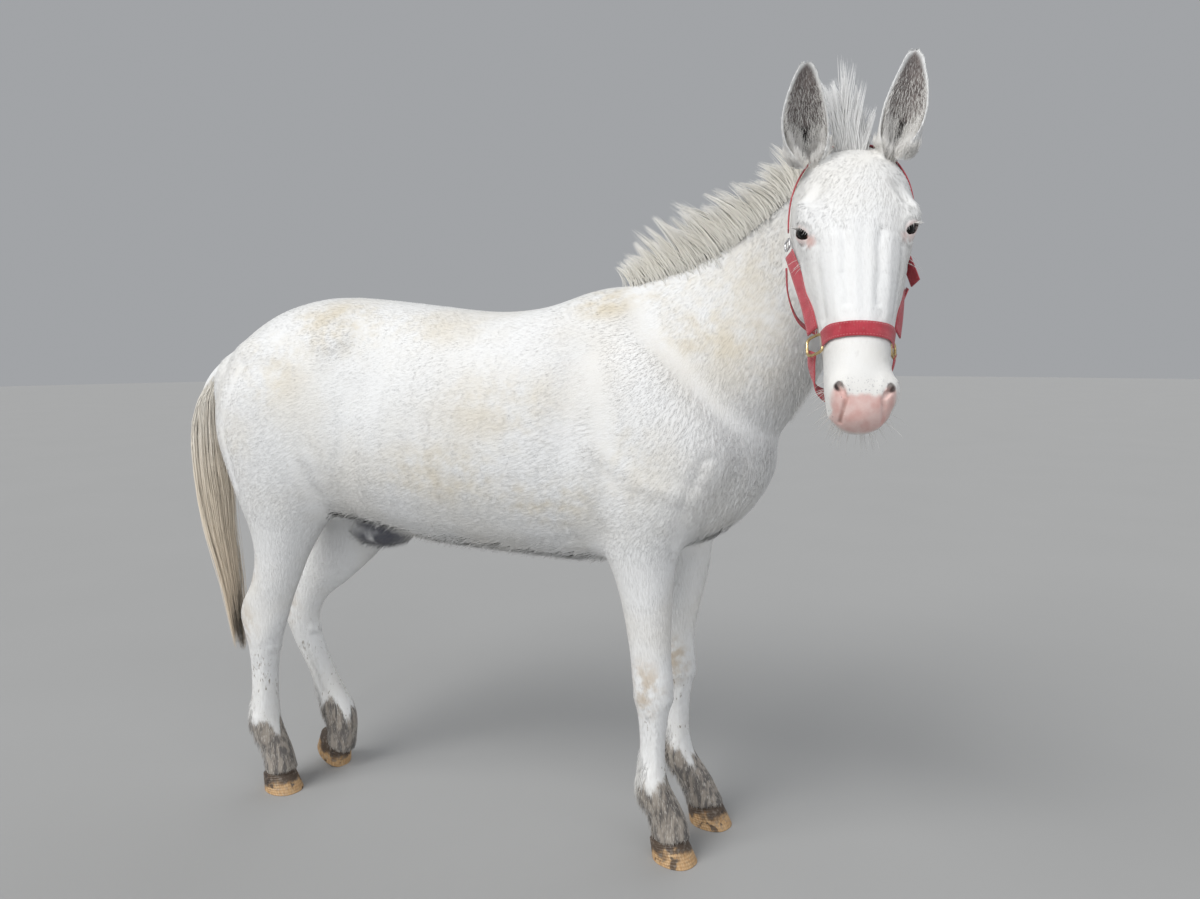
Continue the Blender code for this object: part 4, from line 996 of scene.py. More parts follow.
def closeness(points):
    """How much each point belongs to each part, and the share of the way along each part's line."""
    weights = []
    shares = []
    for name in PART_NAMES:
        line, radius = PARTS[name][:2]
        share, gap, _ = along_path(points, line)
        weights.append(np.exp(-(gap / radius) ** 2 * 1.6))
        shares.append(share)
    weights = np.array(weights).T + 1e-12
    return weights / weights.sum(axis=1, keepdims=True), np.array(shares).T


def lie_of_coat(points, normals, weights):
    """The way that the hair lies at each point, along the skin."""
    lie = np.zeros_like(points)
    for k, name in enumerate(PART_NAMES):
        line = np.array(PARTS[name][0], float)
        if name == "trunk":
            way = np.tile((-1.0, 0.0, -0.45), (len(points), 1))
            chest = ease(points[:, 0], 0.35, 0.62)[:, None]
            way = way * (1 - chest) + np.array((-0.15, 0.0, -1.0)) * chest
        elif name == "neck":
            way = np.tile(unit(line[0] - line[-1]) + np.array((0, 0, -0.35)), (len(points), 1))
        elif name == "head":
            local = in_head(points)
            spread = np.stack([local[:, 0] - 0.035, local[:, 1] * 0.6, local[:, 2] * 0.0 - 0.01], axis=1)
            way = unit(spread) @ np.array(HEAD_TURN).T
        else:
            way = np.tile(unit(line[-1] - line[0]), (len(points), 1))
        lie += weights[:, k:k + 1] * way
    lie -= normals * np.sum(lie * normals, axis=1, keepdims=True)
    return unit(lie)


def blended(weights, column):
    """A size of the parts' table, mixed by how much each point belongs to each part."""
    return weights @ np.array([PARTS[name][column] for name in PART_NAMES])


# The unwrap is a grid of parts, in which each part fills all but a margin of its cell
UNWRAP_COLUMNS = 4
UNWRAP_ROWS = 3
UNWRAP_MARGIN = 0.04
UNWRAP_FILL = 0.92


def unwrap(points):
    """Places on a flat unwrap of the skin: each part rolled open, side by side in a grid."""
    weights, shares = closeness(points)
    nearest = np.argmax(weights, axis=1)
    flat = np.zeros((len(points), 2))
    for k, name in enumerate(PART_NAMES):
        mine = nearest == k
        line = np.array(PARTS[name][0], float)
        _, _, foot = along_path(points[mine], line)
        ahead = unit(line[-1] - line[0])
        aside = unit(np.cross(ahead, (0.2, 1.0, 0.1) if abs(ahead[1]) < 0.8 else (1.0, 0.1, 0.2)))
        over = np.cross(aside, ahead)
        away = points[mine] - foot
        angle = np.arctan2(away @ aside, away @ over) / math.tau + 0.5
        flat[mine, 0] = (k % UNWRAP_COLUMNS + UNWRAP_MARGIN + UNWRAP_FILL * angle) / UNWRAP_COLUMNS
        rise = k // UNWRAP_COLUMNS + UNWRAP_MARGIN + UNWRAP_FILL * shares[mine, k]
        flat[mine, 1] = rise / UNWRAP_ROWS
    return flat


# Markings: how pink, stained, muddy or grey each place is, and where shade is painted in creases, round the
# lids, in the nostrils and in the ears

# Middle and three radii of each cream stain, then its strength, on the right side and over the back
STAINS = [
    ((-0.270, -0.120, 1.150), (0.150, 0.120, 0.080), 0.75),
    ((-0.420, -0.150, 1.050), (0.110, 0.100, 0.110), 0.55),
    ((-0.500, -0.120, 0.900), (0.090, 0.090, 0.120), 0.40),
    ((-0.060, -0.170, 1.150), (0.200, 0.140, 0.060), 0.45),
    ((0.150, -0.200, 0.980), (0.150, 0.080, 0.110), 0.45),
    ((0.020, -0.200, 0.840), (0.170, 0.080, 0.080), 0.60),
    ((0.240, -0.190, 0.790), (0.120, 0.080, 0.070), 0.70),
    ((0.520, -0.130, 1.150), (0.100, 0.080, 0.080), 0.90),
    ((0.600, -0.120, 1.110), (0.070, 0.070, 0.060), 0.70),
    ((0.440, -0.060, 1.230), (0.120, 0.090, 0.060), 0.80),
    ((0.420, -0.150, 0.870), (0.100, 0.080, 0.120), 0.35),
    ((0.740, -0.140, 1.220), (0.090, 0.090, 0.120), 0.35),
    ((0.620, -0.130, 1.190), (0.170, 0.120, 0.190), 0.50),
    ((0.330, -0.070, 1.190), (0.080, 0.090, 0.045), 0.85),
    ((-0.250, 0.160, 1.100), (0.200, 0.120, 0.120), 0.55),
    ((0.100, 0.200, 0.900), (0.280, 0.090, 0.140), 0.50),
    ((0.500, 0.130, 1.080), (0.130, 0.100, 0.110), 0.55),
    ((-0.480, 0.140, 0.920), (0.110, 0.090, 0.160), 0.40),
]


# Place and size of each tan patch on knees and hocks
TANNED = (
    (0.425, -0.125, 0.385, 0.048),
    (0.455, 0.050, 0.39, 0.040),
    (-0.57, -0.078, 0.44, 0.050),
    (-0.575, 0.082, 0.44, 0.050),
    (-0.56, -0.09, 0.60, 0.06),
)


def patch(points, middle, radii):
    """1 in the middle of an oval patch, falling to 0 at its edge."""
    reach = np.linalg.norm((points - np.array(middle)) / np.array(radii), axis=1)
    return 1 - ease(reach, 0.35, 1.25)


def leg_heights(points):
    """Distance up each leg from its sole, for points on the legs, and 9 elsewhere."""
    heights = np.full(len(points), 9.0)
    for foot in FEET.values():
        away = np.linalg.norm((points - np.array(foot.middle)) * (1, 1, 0), axis=1)
        near = (away < 0.13) & (points[:, 2] < 0.55)
        heights[near] = points[near, 2]
    return heights


def markings(points, normals):
    """The marks by name, from the stains on the coat to the painted shade deep in the nostrils."""
    local = in_head(points)
    along, left, over = local.T
    marks = {}
    stain = np.zeros(len(points))
    for middle, radii, strength in STAINS:
        stain = np.maximum(stain, strength * patch(points, middle, radii))
    marks["stain"] = stain
    head = ease(along, 0.30, 0.33) * (np.abs(left) < 0.1) * (over > -0.2)
    ragged = 0.0010 * np.sin(left * 210 + 1.0) + 0.0008 * np.sin(left * 470 + over * 300)
    edge = along + ragged - 0.020 * ease(np.abs(left - MUZZLE_SHIFT), 0.034, 0.050)
    pink = ease(edge + 0.30 * np.maximum(0, -0.050 - over), 0.4555, 0.4635) * head
    aside = np.abs(left - MUZZLE_SHIFT)
    wing = 1 - ease(np.linalg.norm((np.stack([along, aside, over], 1) - (0.463, 0.037, -0.022))
                                   / (0.024, 0.014, 0.026), axis=1), 0.70, 1.10)
    pink = np.maximum(pink, wing * head)
    pink *= 1 - 0.70 * ease(aside, 0.040, 0.054)
    pink *= 1 - 0.75 * ease(-over, 0.052, 0.066)
    marks["nose"] = ease(edge, 0.425, 0.448) * head * (1 - pink) * (np.abs(left) < 0.050) * (over > -0.05)
    lid_shades = np.zeros(len(points))
    for side in (-1, 1):
        eye = in_eye(points, side)
        near = 1 - ease(np.hypot(eye[:, 0] * 0.8, eye[:, 2] + 0.002), 0.011, 0.019)
        from_corner = np.linalg.norm((eye - (0.0245, 0.010, -0.005)) * (0.8, 1, 1.0), axis=1)
        corner = 1 - ease(from_corner, 0.008, 0.016)
        facing = ease(eye[:, 1], 0.004, 0.012)
        pink = np.maximum(pink, facing * np.maximum(0.55 * near, corner))
        almond = (eye[:, 0] / LID_WIDTH) ** 2 + (np.abs(eye[:, 2]) / LID_OPEN) ** 1.54
        rim = (1 - ease(np.abs(almond - 1.0), 0.06, 0.26)) * (0.35 + 0.65 * (eye[:, 2] > 0))
        duct = 1 - ease(np.linalg.norm(eye - (0.0205, 0.014, -0.0050), axis=1), 0.0020, 0.0050)
        duct *= 1.0 if side > 0 else 0.25
        lid_shades = np.maximum(lid_shades, facing * np.maximum(rim, duct))
    # rim: painted shade round each lid opening, stronger along the upper lid, and in the inner corner
    marks["rim"] = lid_shades
    marks["pink"] = pink
    up = leg_heights(points)
    wobble = 0.020 * np.sin(points[:, 0] * 55 + points[:, 1] * 90) + 0.012 * np.sin(points[:, 1] * 240)
    marks["mud"] = (1 - ease(up + wobble, 0.130, 0.200)) * (up < 1)
    marks["specks"] = (1 - ease(up, 0.30, 0.46)) * (up < 1)
    tan = np.zeros(len(points))
    for x, y, z, size in TANNED:
        tan = np.maximum(tan, patch(points, (x, y, z), (size, size, size * 1.5)))
    marks["tan"] = tan
    grey = patch(points, (-0.245, -0.03, 0.660), (0.100, 0.100, 0.070)) * ease(-normals[:, 2], -0.5, 0.3)
    marks["grey"] = grey
    inside = np.zeros(len(points))
    ear_slot_shades = np.zeros(len(points))
    for side in (-1, 1):
        root, axis, _, wide = ear_frame(side)
        sheet, middles = ear_sheet(side, 5, 2)
        share, gap, foot = along_path(points, middles)
        inwards = unit(foot - points)
        cup = ease(np.sum(inwards * normals, axis=1), 0.05, 0.45) * (gap < 0.040) * ease(share, 0.02, 0.08)
        height = (points - np.array(root)) @ np.array(axis.normalized()) / axis.length
        slot_line = [middles[0] + axis * 0.04, middles[2], middles[3]]
        slot_gap = gap_to(points, slot_line)
        ear_slot_shades = np.maximum(ear_slot_shades, cup * (1 - ease(np.abs((points - foot) @ np.array(wide)), 0.003, 0.011))
                           * (1 - ease(height, 0.30, 0.62)) * (slot_gap < 0.05))
        rim_gap = np.minimum(gap_to(points, sheet[0::3]), gap_to(points, sheet[2::3]))
        narrow = 0.015 * (1 - ease(height, 0.10, 0.50))
        inside = np.maximum(inside, cup * ease(height, -0.02, 0.10) * ease(rim_gap - narrow, 0.0030, 0.0110))
    marks["ear"] = inside
    # slot: painted shade in the deep groove at the bottom of each ear's cup
    marks["slot"] = ear_slot_shades
    deep = np.zeros(len(points))
    groove = np.zeros(len(points))
    for side in (-1, 1):
        line = slit_line(side)
        hole = np.linalg.norm(local - np.array(line[0]) - (0.002, 0, -0.003), axis=1)
        deep = np.maximum(deep, 1 - ease(hole, 0.0050, 0.0092))
        groove = np.maximum(groove, 1 - ease(gap_to(local, line), 0.0012, 0.0046))
    round_muzzle = np.arctan2(left, np.maximum(along - 0.440, 0.001))
    lips = 1 - ease(np.abs(over - mouth_height(round_muzzle)), 0.0010, 0.0034)
    # groove: painted shade along the nostrils' slits and the line of the lips
    marks["groove"] = np.maximum(groove, 0.9 * lips * head * (along > 0.440))
    # deep: painted shade in the hollow of each nostril
    marks["deep"] = deep
    return marks


# Solid hair


def set_marks(mesh, marks):
    for name, values in marks.items():
        layer = mesh.attributes.new(name, "FLOAT", "POINT")
        layer.data.foreach_set("value", np.asarray(values, np.float32))


def strand_mesh(paths, widths, thick, flat):
    """Closed three-sided strands in one mesh.

    paths holds each strand's places, widths its widest, thick its depth there,
    and flat the way that its broad side faces. Each vertex has its place on the unwrap.
    """
    count, stations, _ = paths.shape
    ahead = unit(np.gradient(paths, axis=1))
    side = unit(np.cross(ahead, flat[:, None, :]))
    out = np.cross(side, ahead)
    share = np.linspace(0, 1, stations)
    full = np.interp(share, (0, 0.3, 0.65, 1.0), (0.75, 1.0, 0.72, 0.06))
    wide = side * (widths[:, None] * full)[:, :, None] / 2
    deep = out * (thick[:, None] * full)[:, :, None]
    rings = np.stack([paths + wide, paths + deep, paths - wide], axis=2)
    points = rings.reshape(-1, 3)
    corners = []
    for station in range(stations - 1):
        low = station * 3
        for k in range(3):
            after = (k + 1) % 3
            corners.append((low + k, low + k + 3, low + after + 3))
            corners.append((low + k, low + after + 3, low + after))
    last = (stations - 1) * 3
    corners.append((0, 1, 2))
    corners.append((last + 2, last + 1, last))
    corners = np.array(corners)
    starts = np.arange(count) * stations * 3
    triangles = (starts[:, None, None] + corners[None]).reshape(-1, 3)
    mesh = mesh_of(points, triangles)
    add_patches(mesh, paths[:, 0], triangles, stations * 3, share)
    return mesh


# Size of each hair's patch on the unwrap
PATCH_SIZE = 0.003


def add_patches(mesh, roots, triangles, per_hair, share):
    """The OFBake map: each hair is a small patch at its root's place on the skin's unwrap."""
    flat = unwrap(roots)
    ring = np.arange(per_hair) % 3
    rise = np.repeat(share, 3)[:per_hair] if len(share) * 3 >= per_hair else np.array([0, 0, 0, 1.0])
    across = np.array((-0.5, 0.0, 0.5))[ring] * PATCH_SIZE
    upward = (rise - 0.5) * PATCH_SIZE
    places = flat[:, None, :] + np.stack([across, upward], axis=1)[None]
    layer = mesh.uv_layers.new(name="OFBake")
    layer.data.foreach_set("uv", places.reshape(-1, 2)[triangles.ravel()].astype(np.float32).ravel())


LOWEST_NORMAL = -0.40


def tuft_mesh(roots, lies, normals, lengths, widths, lifts):
    """Flat tapered tufts of four faces that lie along the skin."""
    side = unit(np.cross(normals, lies))
    sunk = roots - normals * TUFT_DEPTH
    tips = roots + lies * (lengths * np.cos(lifts))[:, None] + normals * (lengths * np.sin(lifts))[:, None]
    wide = side * widths[:, None] / 2
    over = sunk + normals * (TUFT_DEPTH + widths * 0.26)[:, None] + lies * (lengths * 0.18)[:, None]
    points = np.stack([sunk + wide, over, sunk - wide, tips], axis=1).reshape(-1, 3)
    corners = np.array(((0, 1, 3), (1, 2, 3), (2, 0, 3), (0, 2, 1)))
    starts = np.arange(len(roots)) * 4
    triangles = (starts[:, None, None] + corners[None]).reshape(-1, 3)
    mesh = mesh_of(points, triangles)
    add_patches(mesh, roots, triangles, 4, np.zeros(0))
    lit = unit(np.stack([normals[:, 0], normals[:, 1], np.maximum(normals[:, 2], LOWEST_NORMAL)], axis=1))
    soft = unit(np.stack([lit + side * 0.07, lit, lit - side * 0.07, lit + lies * 0.08], axis=1))
    return mesh, soft.reshape(-1, 3)


class Skin:
    """The finished skin as arrays, from which hair is rooted."""

    def __init__(self, mesh):
        self.points = coordinates(mesh)
        self.normals = normals_of(mesh)
        self.triangles = triangles_of(mesh)
        a, b, c = (self.points[self.triangles[:, k]] for k in range(3))
        self.areas = np.linalg.norm(np.cross(b - a, c - a), axis=1) / 2
        self.middles = (a + b + c) / 3

    def roots(self, closeness_there, seed):
        """Places spread evenly over the skin, so many for each square metre there."""
        draw = np.random.default_rng(seed)
        order = np.lexsort((self.middles[:, 1], (self.middles[:, 2] * 90).astype(int),
                            (self.middles[:, 0] * 90).astype(int)))
        share = (self.areas * closeness_there)[order]
        total = np.cumsum(share)
        count = int(total[-1])
        wanted = (np.arange(count) + draw.random(count)) / count * total[-1]
        chosen = order[np.minimum(np.searchsorted(total, wanted), len(order) - 1)]
        first = np.sqrt(draw.random(count))
        second = draw.random(count)
        parts = np.stack([1 - first, first * (1 - second), first * second], axis=1)
        corners = self.triangles[chosen]
        places = np.einsum("nk,nkc->nc", parts, self.points[corners])
        facing = unit(np.einsum("nk,nkc->nc", parts, self.normals[corners]))
        return places, facing


def bare(points, routes):
    """True where no tuft grows: under the straps, round the eyes and in the nostrils and mouth."""
    hidden = np.zeros(len(points), bool)
    local = in_head(points)
    for route, half in routes:
        gap = gap_to(points, route)
        hidden |= gap < half
    for side in (-1, 1):
        eye = in_eye(points, side)
        reach = np.linalg.norm(eye, axis=1)
        hidden |= reach < EYE_RADIUS + 0.0028
        hidden |= (np.hypot(eye[:, 0] * 0.62, eye[:, 2]) < 0.0135) & (eye[:, 1] > 0)
        gap = gap_to(local, slit_line(side))
        hidden |= gap < 0.0090
    lips = (local[:, 0] > 0.41) & (np.abs(local[:, 2] + 0.075) < 0.005) & (np.abs(local[:, 1]) < 0.07)
    return hidden | lips


def waves(points, scale, seed):
    """A smooth random value from -1 to 1 at each point."""
    draw = np.random.default_rng(seed)
    total = np.zeros(len(points))
    for _ in range(5):
        way = draw.normal(size=3)
        way *= scale / np.linalg.norm(way) * draw.uniform(0.6, 1.6)
        total += np.sin(points @ way + draw.uniform(0, math.tau))
    return total / 2.6


def coats(skin, routes):
    """Tufts all over the skin, as arrays that place_coats sorts into pieces."""
    weights, _ = closeness(skin.middles)
    spacing = blended(weights, 4)
    places, facing = skin.roots(1 / spacing ** 2, seed=11)
    keep = ~bare(places, routes)
    places, facing = places[keep], facing[keep]
    weights, _ = closeness(places)
    lies = lie_of_coat(places, facing, weights)
    draw = np.random.default_rng(12)
    count = len(places)
    swirl = 0.10 * waves(places, 40, 3) + draw.normal(0, 0.10, count)
    side = np.cross(facing, lies)
    lies = unit(lies * np.cos(swirl)[:, None] + side * np.sin(swirl)[:, None])
    lengths = blended(weights, 2) * draw.uniform(0.75, 1.3, count)
    widths = blended(weights, 3) * draw.uniform(0.8, 1.3, count)
    lifts = np.radians(2.2 + 1.8 * draw.random(count) + 0.6 * waves(places, 45, 4))
    trunk_share = weights[:, 0]
    belly = trunk_share * ease(-facing[:, 2], 0.55, 0.9)
    chest = trunk_share * ease(places[:, 0], 0.50, 0.62)
    throat = weights[:, 1] * ease(-facing[:, 2], 0.15, 0.6)
    longer = belly * 0.9 + chest * 0.25 + throat * 0.4
    lengths *= 1 + longer
    lifts += np.radians(10) * longer
    local = in_head(places)
    muzzle = ease(local[:, 0], 0.36, 0.44) * weights[:, 2]
    lengths *= 1 - 0.55 * muzzle
    shade = np.clip(0.5 + 0.22 * draw.normal(size=count), 0, 1)
    return places, facing, lies, lengths, widths, np.maximum(lifts, math.radians(1.2)), shade


def hair_paths(places, facing, start, end, long):
    """Short hairs of two straight halves, rooted just under the skin."""
    middle = places + start * long * 0.5
    return np.stack([places - facing * ROOT_DEPTH, middle, middle + end * long * 0.5], axis=1)


# How deep hairs and tufts are rooted, and how many hairs each fringe has
ROOT_DEPTH = 0.001
TUFT_DEPTH = 0.0008
FRINGES = {
    "belly": 2600,
    "fetlocks": 5200,
    "jaw": 900,
}


def fringe_strands(skin, name):
    """Longer hair that hangs: under the belly, behind the fetlocks and along the jaw."""
    middles = skin.middles
    normals = skin.normals[skin.triangles[:, 0]]
    local = in_head(middles)
    if name == "belly":
        where = ease(-normals[:, 2], 0.50, 0.85) * (np.abs(middles[:, 0]) < 0.34)
        where = where * (middles[:, 2] > 0.58) * (middles[:, 2] < 0.72)
        where = where * (1 - ease(np.abs(middles[:, 1]), 0.05, 0.13))
        way, length, lift, curl = (-0.75, 0.0, -0.55), 0.024, 0.25, 0.35
    elif name == "fetlocks":
        rear = np.zeros(len(middles))
        for rows in LEG_ROWS.values():
            for _, back, _, _, _ in rows:
                if back.z < 0.24:
                    gap = np.linalg.norm(middles - np.array(back), axis=1)
                    rear = np.maximum(rear, 1 - ease(gap, 0.020, 0.042))
        where = rear * (middles[:, 2] < 0.24) * (middles[:, 2] > 0.035)
        way, length, lift, curl = (-0.25, 0.0, -1.0), 0.020, 0.30, 0.5
    else:
        where = ease(-local[:, 2], 0.09, 0.13) * (local[:, 0] > 0.22) * (local[:, 0] < 0.46)
        where = where * (np.abs(local[:, 1]) < 0.06)
        way, length, lift, curl = (0.0, 0.0, -1.0), 0.016, 0.5, 0.3
    wanted = FRINGES[name]
    total = (skin.areas * where).sum()
    places, facing = skin.roots(where * wanted / total + 1e-9, seed=20 + len(name))
    draw = np.random.default_rng(30 + len(name))
    count = len(places)
    way = unit(np.array(way) + draw.normal(0, 0.16, (count, 3)))
    way = unit(way - facing * np.sum(way * facing, axis=1, keepdims=True) * (1 - curl))
    start = unit(way + facing * lift)
    end = unit(way + facing * lift * 0.3 + np.array((0, 0, -0.35)))
    long = length * draw.uniform(0.55, 1.25, count)[:, None]
    paths = hair_paths(places, facing, start, end, long)
    widths = draw.uniform(0.0009, 0.0016, count)
    return paths, widths, widths * 0.45, facing


# Long hair


def crest_line():
    """Places along the top of the neck, from the withers to the poll."""
    tops = [(0.300, 0.000, 1.222), (0.400, 0.000, 1.238), (0.500, -0.008, 1.264),
            (0.590, -0.036, 1.305), (0.668, -0.090, 1.350), (0.738, -0.146, 1.392),
            (0.788, -0.198, 1.412), (0.822, -0.236, 1.424)]
    return [Vector(p) for p in curve_through(tops, 12)]


BEND_STATIONS = 5


def bezier(start, middle, end, stations):
    """Places on smooth bends, one for each row of the arrays."""
    share = np.linspace(0, 1, stations)[None, :, None]
    return ((1 - share) ** 2 * start[:, None] + 2 * share * (1 - share) * middle[:, None]
            + share ** 2 * end[:, None])


def bent(strands):
    """Smooth bends through each strand's start, middle and end."""
    return bezier(*(np.array([tuple(strand[i]) for strand in strands]) for i in range(3)), BEND_STATIONS)


def clumped(paths, clump_of, pull, ends=0.75):
    """Strands drawn towards their clump's middle strand, most at the tips."""
    share = np.linspace(0, 1, paths.shape[1])[None, :, None]
    return paths + (clump_of - paths) * pull * share ** ends


MANE_CLUMPS = 72
MANE_PER_CLUMP = 54
MANE_LENGTH = 0.122
MANE_SHARES = (0, 0.15, 0.35, 0.55, 0.75, 0.9, 1)
MANE_TALL = (0.40, 0.96, 1.28, 1.14, 0.92, 0.66, 0.40)


def mane_strands():
    """Upright hair along the crest that leans back towards the withers."""
    draw = random.Random(5)
    spread = np.random.default_rng(6)
    line = crest_line()
    first, last = 9, len(line) - 4
    paths = []
    for k in range(MANE_CLUMPS):
        share = k / (MANE_CLUMPS - 1)
        tall = MANE_LENGTH * np.interp(share, MANE_SHARES, MANE_TALL)
        tall *= draw.uniform(0.72, 1.16)
        sway = (k % 3 - 1) * 0.20 + draw.uniform(-0.20, 0.20)
        lean = draw.uniform(0.30, 0.86)
        strands = []
        for j in range(MANE_PER_CLUMP + 1):
            middle = j == 0
            spot = first + (share + (0 if middle else spread.normal(0, 0.016))) * (last - first)
            spot = min(len(line) - 2.001, max(0, spot))
            i = int(spot)
            root = line[i].lerp(line[i + 1], spot - i)
            ahead = (line[i + 1] - line[i]).normalized()
            across = Vector((-ahead.y, ahead.x, 0)).normalized()
            up = ahead.cross(across).normalized()
            up = up if up.z > 0 else -up
            aside = 0 if middle else spread.normal(0, 0.72)
            height = tall * (1 if middle else spread.uniform(0.35, 1.06) * (1 - 0.35 * min(1, abs(aside))))
            start = root + across * aside * 0.023 - up * (0.009 + 0.009 * aside * aside)
            fan = sway + aside * 0.22
            rise = (up + across * fan * 0.6 - ahead * lean * 0.5).normalized()
            fall = (up + across * fan * 1.5 - ahead * lean * 1.8).normalized()
            mid = start + rise * (height * 0.5 + 0.012)
            strands.append((start, mid, mid + fall * height * 0.5))
        bends = bent(strands)
        drawn = bends[:1] + (bends[1:, :1] - bends[:1, :1]) * 0.2
        paths.append(clumped(bends[1:], drawn, draw.uniform(0.70, 0.98)))
    paths = np.concatenate(paths)
    widths = spread.uniform(0.0008, 0.0017, len(paths))
    flat = np.tile((0.35, 0.93, 0.0), (len(paths), 1)) * spread.choice((-1, 1), (len(paths), 1))
    return paths, widths, widths * 0.4, unit(flat + spread.normal(0, 0.3, flat.shape))


FORELOCK_CLUMPS = 34
FORELOCK_PER_CLUMP = 30


def forelock_strands():
    """A tuft between the ears that stands up and leans to the mule's right."""
    draw = random.Random(12)
    spread = np.random.default_rng(13)
    paths = []
    for k in range(FORELOCK_CLUMPS):
        share = (k * 0.618) % 1
        left = -0.027 + 0.044 * share
        row = (-0.012, 0.004, 0.016)[k % 3]
        tall = draw.uniform(0.070, 0.142) * (1 - 0.34 * abs(share - 0.3))
        rise = Vector((-0.16 + 0.42 * (share - 0.4), -0.26 + 0.14 * (k % 3), 1.0)).normalized()
        bend = Vector((draw.uniform(-0.85, 0.30) + 0.3 * (share - 0.4), draw.uniform(-0.40, 0.06), 0.9))
        bend.normalize()
        strands = []
        for j in range(FORELOCK_PER_CLUMP + 1):
            push = np.zeros(3) if j == 0 else spread.normal(0, 1, 3)
            start = head_point(row + push[0] * 0.005, left * 0.8 + push[1] * 0.006, -0.008)
            height = tall * (1 if j == 0 else spread.uniform(0.45, 1.05))
            mid = start + (rise + Vector(push) * 0.10).normalized() * height * 0.50
            end = mid + (bend + Vector(push) * 0.14).normalized() * height * 0.55
            strands.append((start, mid, end))
        bends = bent(strands)
        paths.append(clumped(bends[1:], bends[:1], draw.uniform(0.60, 0.95)))
    paths = np.concatenate(paths)
    widths = spread.uniform(0.0007, 0.0015, len(paths))
    flat = np.tile((0.0, -1.0, 0.0), (len(paths), 1)) + spread.normal(0, 0.4, (len(paths), 3))
    return paths, widths, widths * 0.4, unit(flat)


TAIL_CLUMPS = 84
TAIL_PER_CLUMP = 30
TAIL_STATIONS = 10


def tail_strands():
    """Long hair that grows from the dock and overlaps to the tip."""
    draw = random.Random(3)
    spread = np.random.default_rng(4)
    line = [Vector(p) for p in curve_through(TAIL_LINE, 6)]
    last = len(line) - 1
    paths = []
    for k in range(TAIL_CLUMPS):
        angle = math.tau * (k * 0.381966 % 1)
        begin = 3 + int(20 * ((k * 0.618) % 1))
        end = min(last + 1, begin + int(last * draw.uniform(0.46, 0.66)))
        phase = draw.uniform(0, math.tau)
        strands = []
        for j in range(TAIL_PER_CLUMP + 1):
            turned = angle + (0 if j == 0 else spread.normal(0, 0.42))
            longer = 0 if j == 0 else spread.uniform(-0.22, 0.06)
            wide = 1 if j == 0 else spread.uniform(0.45, 1.12)
            path = []
            for step in range(TAIL_STATIONS):
                share = step / (TAIL_STATIONS - 1)
                spot = min(last, begin + (end - begin) * share * (1 + longer))
                i = min(int(spot), last - 1)
                here = line[i].lerp(line[i + 1], spot - i)
                ahead = (line[i + 1] - line[i]).normalized()
                over = Vector((0, 1, 0)).cross(ahead).normalized()
                swell = np.interp(share, (0, 0.2, 0.5, 0.75, 1), (0.018, 0.036, 0.038, 0.031, 0.022))
                swell *= wide * (1 - 0.35 * (end / last) * share)
                wave = 0.0035 * math.sin(phase + share * 7 + turned)
                inner = np.interp(spot / last, (0, 0.25, 0.55, 0.80, 1), (0.8, 1.3, 2.3, 1.5, 0.9))
                reach = inner if math.sin(turned) < 0 else 0.8
                path.append(here + over * (math.sin(turned) * swell * reach + wave)
                            + Vector((0, math.cos(turned) * swell * 1.25 + wave, 0)))
            strands.append(path)
        rows = np.array([[tuple(p) for p in path] for path in strands])
        paths.append(clumped(rows[1:], rows[:1], 0.50, 1.2))
    paths = np.concatenate(paths)
    widths = spread.uniform(0.0010, 0.0021, len(paths))
    outwards = paths[:, 4] - np.array(TAIL_LINE[4])
    return paths, widths, widths * 0.4, unit(outwards * (1, 1, 0) + spread.normal(0, 0.01, (len(paths), 3)))


def dock():
    """The tail's fleshy root, under the hair."""
    wide = (0.020, 0.021, 0.022, 0.021, 0.017, 0.006)
    spine = [Vector(p) for p in TAIL_LINE[:6]]
    rows = []
    for i, here in enumerate(spine):
        ahead = (spine[min(i + 1, 5)] - spine[max(i - 1, 0)]).normalized()
        over = Vector((0, 1, 0)).cross(ahead).normalized() * wide[i] * 0.85
        rows.append((here + over, here - over, wide[i], 2.0, 0.0))
    return loft(rows, 24, 5)


EAR_HAIRS = 7000
EARS_PART = 0.835


